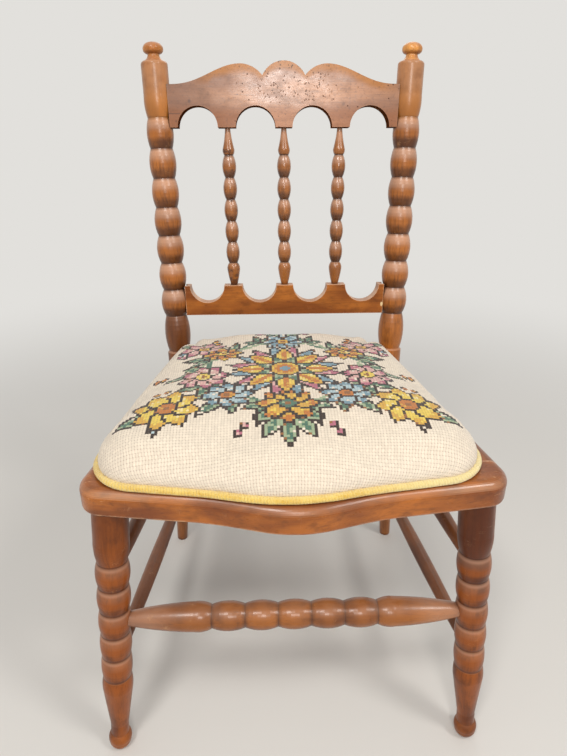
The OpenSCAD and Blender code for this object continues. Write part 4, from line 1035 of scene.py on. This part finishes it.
def make_welt(finished):
    """A wool-covered edge round the pad's foot, slightly uneven, with its wraps as low ridges."""
    turns = np.linspace(-math.pi, math.pi, 2881)[:-1]
    line = np.stack(round_centre(foot_radius(turns), turns), -1)
    step = np.linalg.norm(np.roll(line, -1, 0) - line, axis=1)
    length = np.concatenate([[0], np.cumsum(step)])
    count = int(round(length[-1] / WELT_STEP))
    even = np.linspace(0, length[-1], count, endpoint=False)
    closed = np.concatenate([line, line[:1]])
    line = np.stack([np.interp(even, length, closed[:, k]) for k in (0, 1)], -1)
    forward = np.roll(line, -1, 0) - np.roll(line, 1, 0)
    forward /= np.linalg.norm(forward, axis=1, keepdims=True)
    out = np.stack([forward[:, 1], -forward[:, 0]], -1)
    pitch = length[-1] / round(length[-1] / WRAP)
    places, stitch, faces = [], [], []
    for k, ((x, y), (out_x, out_y)) in enumerate(zip(line, out)):
        here, following = k * WELT_SIDES, (k + 1) % count * WELT_SIDES
        for j in range(WELT_SIDES):
            a, beside = 2 * math.pi * j / WELT_SIDES, (j + 1) % WELT_SIDES
            ridge = 0.035 * math.sin(2 * math.pi * (even[k] / pitch + j / WELT_SIDES))
            uneven = 0.10 * noise.noise(Vector((x * 60, y * 60, j * 0.4)))
            uneven += 0.05 * noise.noise(Vector((x * 700, y * 700, j * 1.7)))
            r = WELT_R * (1.06 + ridge + uneven)
            off = WELT_R + SOFT_GAP + r * math.sin(a)
            places.append((x + out_x * off, y + out_y * off,
                           PAD_FOOT - WELT_SUNK + WELT_R - min(r * math.cos(a), 0.97 * WELT_R)))
            stitch.append((even[k] / pitch, j / WELT_SIDES, 0.0))
            faces.append((here + j, following + j, following + beside, here + beside))
    piece = new_piece("seat_welt_wool", places, faces, finished)
    store(piece.data.attributes.new("stitch", "FLOAT_VECTOR", "POINT"), "vector", stitch)
    return piece


def woven_material(name, first, second, pitch, seed):
    """A plain weave of round threads, in the plane of the seat."""
    t = material(name)
    x, y, _ = t.split(t.place)
    u, v = x * (1 / pitch), y * (1 / pitch)
    warp, weft = (abs(t.math("SINE", a * math.pi)) for a in (u, v))
    over = t.math("FLOORED_MODULO", t.math("FLOOR", u) + t.math("FLOOR", v), 2.0)
    height = warp + (weft - warp) * over
    slub = t.noise(t.place + (seed, seed, 0.0), 260.0, 4.0, 0.65)
    broad = t.noise(t.place, 30.0, 3.0, 0.5)
    t.colour = t.mix(t.spread(slub, 0.35, 0.7), first, second)
    # Painted shade where the threads dip
    t.tint(darkened(first, 0.25), t.spread(height, 0.5, 0.0, 0.0, 0.6))
    t.tint(darkened(first, 0.5), t.spread(broad, 0.55, 0.8, 0.0, 0.25))
    return t.finish(0.9, height + slub * 0.5, 0.4 * MM, 0.8, Sheen_Weight=0.15, Sheen_Roughness=0.5,
                    Specular_IOR_Level=0.2)


def outwards(piece):
    """Turns the faces outwards and keeps the edges between the flat sides."""
    made = bmesh.new()
    made.from_mesh(piece.data)
    bmesh.ops.recalc_face_normals(made, faces=made.faces)
    made.to_mesh(piece.data)
    made.free()
    piece.data.set_sharp_from_angle(angle=CREASED)


# Places of the strips, their width and thickness, the half length over which a strip stays level where
# another crosses it, and the distance between its rings of points
WEB_PLACES, WEB_SHIFT = (-62 * MM, 0.0, 62 * MM), (0.0, PLAN_BACK * MM)
WEB_W, WEB_T, WEB_FLAT, WEB_STEP = 40 * MM, 1.1 * MM, 22 * MM, 2 * MM


def webbing(node, lengthways, over_first, finished):
    """Three woven strips, each over and under the strips that cross it."""
    points = points_of(node)
    low, high = points[:, 2].min(), points[:, 2].max() - WEB_T
    run, side = (1, 0) if lengthways else (0, 1)
    # A strip's section: along the top, then back below
    turn = np.linspace(0, 1, 13)
    half = WEB_W / 2
    thick = WEB_T / 2 * np.sqrt(np.clip(1 - np.abs(2 * turn - 1) ** 16, 0, 1))
    section = ([(half * (2 * s - 1), WEB_T / 2 + h) for s, h in zip(turn, thick)]
               + [(half * (2 * s - 1), WEB_T / 2 - h) for s, h in zip(turn[-2:0:-1], thick[-2:0:-1])])
    places, faces = [], []
    for number, at in enumerate(WEB_PLACES):
        middle = at + WEB_SHIFT[side]
        own = points[abs(points[:, side] - middle) < half + 1 * MM][:, run]
        along_it = np.append(np.arange(own.min(), own.max(), WEB_STEP), own.max())
        knots, levels = [], []
        for k, crossing in enumerate(WEB_PLACES):
            level = high if (number + k + over_first) % 2 == 0 else low
            knots += [crossing + WEB_SHIFT[run] - WEB_FLAT, crossing + WEB_SHIFT[run] + WEB_FLAT]
            levels += [level, level]
        part = np.interp(along_it, knots, np.arange(len(knots)))
        share = part - np.floor(part)
        eased = np.floor(part) + share * share * (3 - 2 * share)
        level = np.interp(eased, np.arange(len(knots)), levels)
        faces += tube(len(places), len(along_it), len(section), True)
        for where, z in zip(along_it, level):
            for aside, up in section:
                spot = [0.0, 0.0, z + up]
                spot[run], spot[side] = where, middle + aside
                places.append(spot)
    piece = new_piece(node + "_woven", places, faces, finished)
    outwards(piece)
    stands_for(piece, "jute", node)


def canvas(finished):
    """The cloth over the webbing, inside the foot of the cover."""
    angle = np.linspace(0, 2 * math.pi, 361)[:-1]
    far = foot_radius((angle + math.pi) % (2 * math.pi) - math.pi) - COVER_T - SOFT_GAP
    rings = [np.stack(round_centre(far * share, angle), -1) for share in (1.0, 0.8, 0.55, 0.3)]
    n = len(angle)
    places, faces = [], []
    for z in (PAD_FOOT, PAD_FOOT + CANVAS_T):
        base = len(places)
        last, centre = base + (len(rings) - 1) * n, base + len(rings) * n
        places += [(x, y, z) for points in rings for x, y in points] + [(*PAD_CENTRE, z)]
        faces += tube(base, len(rings), n) + [(last + j, last + (j + 1) % n, centre) for j in range(n)]
    upper = len(rings) * n + 1
    faces += [(j, (j + 1) % n, (j + 1) % n + upper, j + upper) for j in range(n)]
    piece = new_piece("seat_canvas_woven", places, faces, finished)
    outwards(piece)
    stands_for(piece, "linen", "seat_canvas")


jute = woven_material("jute_webbing", linear(158, 122, 78), linear(184, 148, 100), 2.6 * MM, 1.0)
webbing("webbing_across", False, 0, jute)
webbing("webbing_along", True, 1, jute)
canvas(woven_material("linen_canvas", linear(196, 180, 148), linear(212, 198, 168), 1.2 * MM, 2.0))
pad = stitched_cover(wool_material())
stands_for(pad, "needlepoint_wool", "needlepoint_cover", "stuffing")
stands_for(make_welt(welt_material()), "welt_wool", "seat_welt")


# Stage, lamps and camera

BACKGROUND = linear(226, 224, 220)
# Of each lamp: place, the place it looks at, width, power and colour
LAMPS = {
    "key": ((-0.45, -1.05, 1.80), (0, 0, 0.35), 0.42, 12.5, (1.0, 0.97, 0.93)),
    "second": ((0.95, -0.75, 1.55), (0, 0, 0.35), 0.40, 8, (1.0, 0.97, 0.93)),
    "front": ((0.05, -1.22, 1.02), (0.02, 0.10, 0.50), 0.26, 5.5, (1.0, 0.96, 0.92)),
    "back": ((0.2, 1.6, 1.5), (0, 0, 0.35), 1.1, 3.5, (1.0, 0.98, 0.96)),
}


def floor_material():
    """A pale floor that keeps the object's shadow, and far off takes the background's own colour."""
    t = material("floor_pale")
    t.colour = linear(222, 220, 216)
    t.finish(0.9, Specular_IOR_Level=0.2)
    far = t.vector("LENGTH", t.place, out=1)
    mixed = t.node("ShaderNodeMixShader", i0=t.spread(far, 0.45, 1.5), i1=Value(t, t.shader.outputs[0]),
                   i2=t.node("ShaderNodeEmission", Color=BACKGROUND))
    t.link(mixed, t.nodes["Material Output"].inputs["Surface"])
    return t.owner


bpy.ops.mesh.primitive_plane_add(size=30, location=(0, 0, 0))
floor = bpy.context.object
floor.name = "floor"
floor.data.materials.append(floor_material())

# Seen directly or in a reflection the surroundings have the background's colour. Their light has its own
studio = Tree(bpy.data.worlds.new("studio"))
bpy.context.scene.world = studio.owner
light = studio.nodes["Background"]
light.inputs["Color"].default_value = (1.0, 0.985, 0.96, 1)
light.inputs["Strength"].default_value = 0.42
path = studio.nodes.new("ShaderNodeLightPath")
camera_ray, glossy, through = (Value(studio, path.outputs[f"Is {ray} Ray"])
                               for ray in ("Camera", "Glossy", "Transmission"))
seen = studio.larger(studio.larger(camera_ray, glossy), through)
mixed = studio.node("ShaderNodeMixShader", i0=seen, i1=Value(studio, light.outputs[0]),
                    i2=studio.node("ShaderNodeBackground", Color=BACKGROUND))
studio.link(mixed, studio.nodes["World Output"].inputs["Surface"])

for name, (at, look, size, power, colour) in LAMPS.items():
    data = bpy.data.lights.new(name, "AREA")
    data.shape, data.size, data.energy, data.color = "DISK", size, power, colour
    lamp = in_scene(name, data)
    lamp.location = at
    lamp.rotation_euler = (Vector(look) - Vector(at)).to_track_quat("-Z", "Y").to_euler()

camera = in_scene("camera", bpy.data.cameras.new("camera"))
bpy.context.scene.camera = camera
ahead = Vector((math.sin(CAMERA_TURN) * math.cos(CAMERA_DOWN), math.cos(CAMERA_TURN) * math.cos(CAMERA_DOWN),
                -math.sin(CAMERA_DOWN)))
level = Vector((math.cos(CAMERA_TURN), -math.sin(CAMERA_TURN), 0))
down = ahead.cross(level)
rolled = level * math.cos(CAMERA_ROLL) + down * math.sin(CAMERA_ROLL)
below = down * math.cos(CAMERA_ROLL) - level * math.sin(CAMERA_ROLL)
camera.matrix_world = Matrix.Translation(CAMERA_AT) @ Matrix((rolled, -below, -ahead)).transposed().to_4x4()
camera.data.sensor_width = SENSOR
camera.data.lens = FOCAL_PIXELS / LONG_SIDE_PIXELS * SENSOR
camera.data.clip_start, camera.data.clip_end = 0.01, 60

bpy.context.scene.view_settings.view_transform = "Standard"
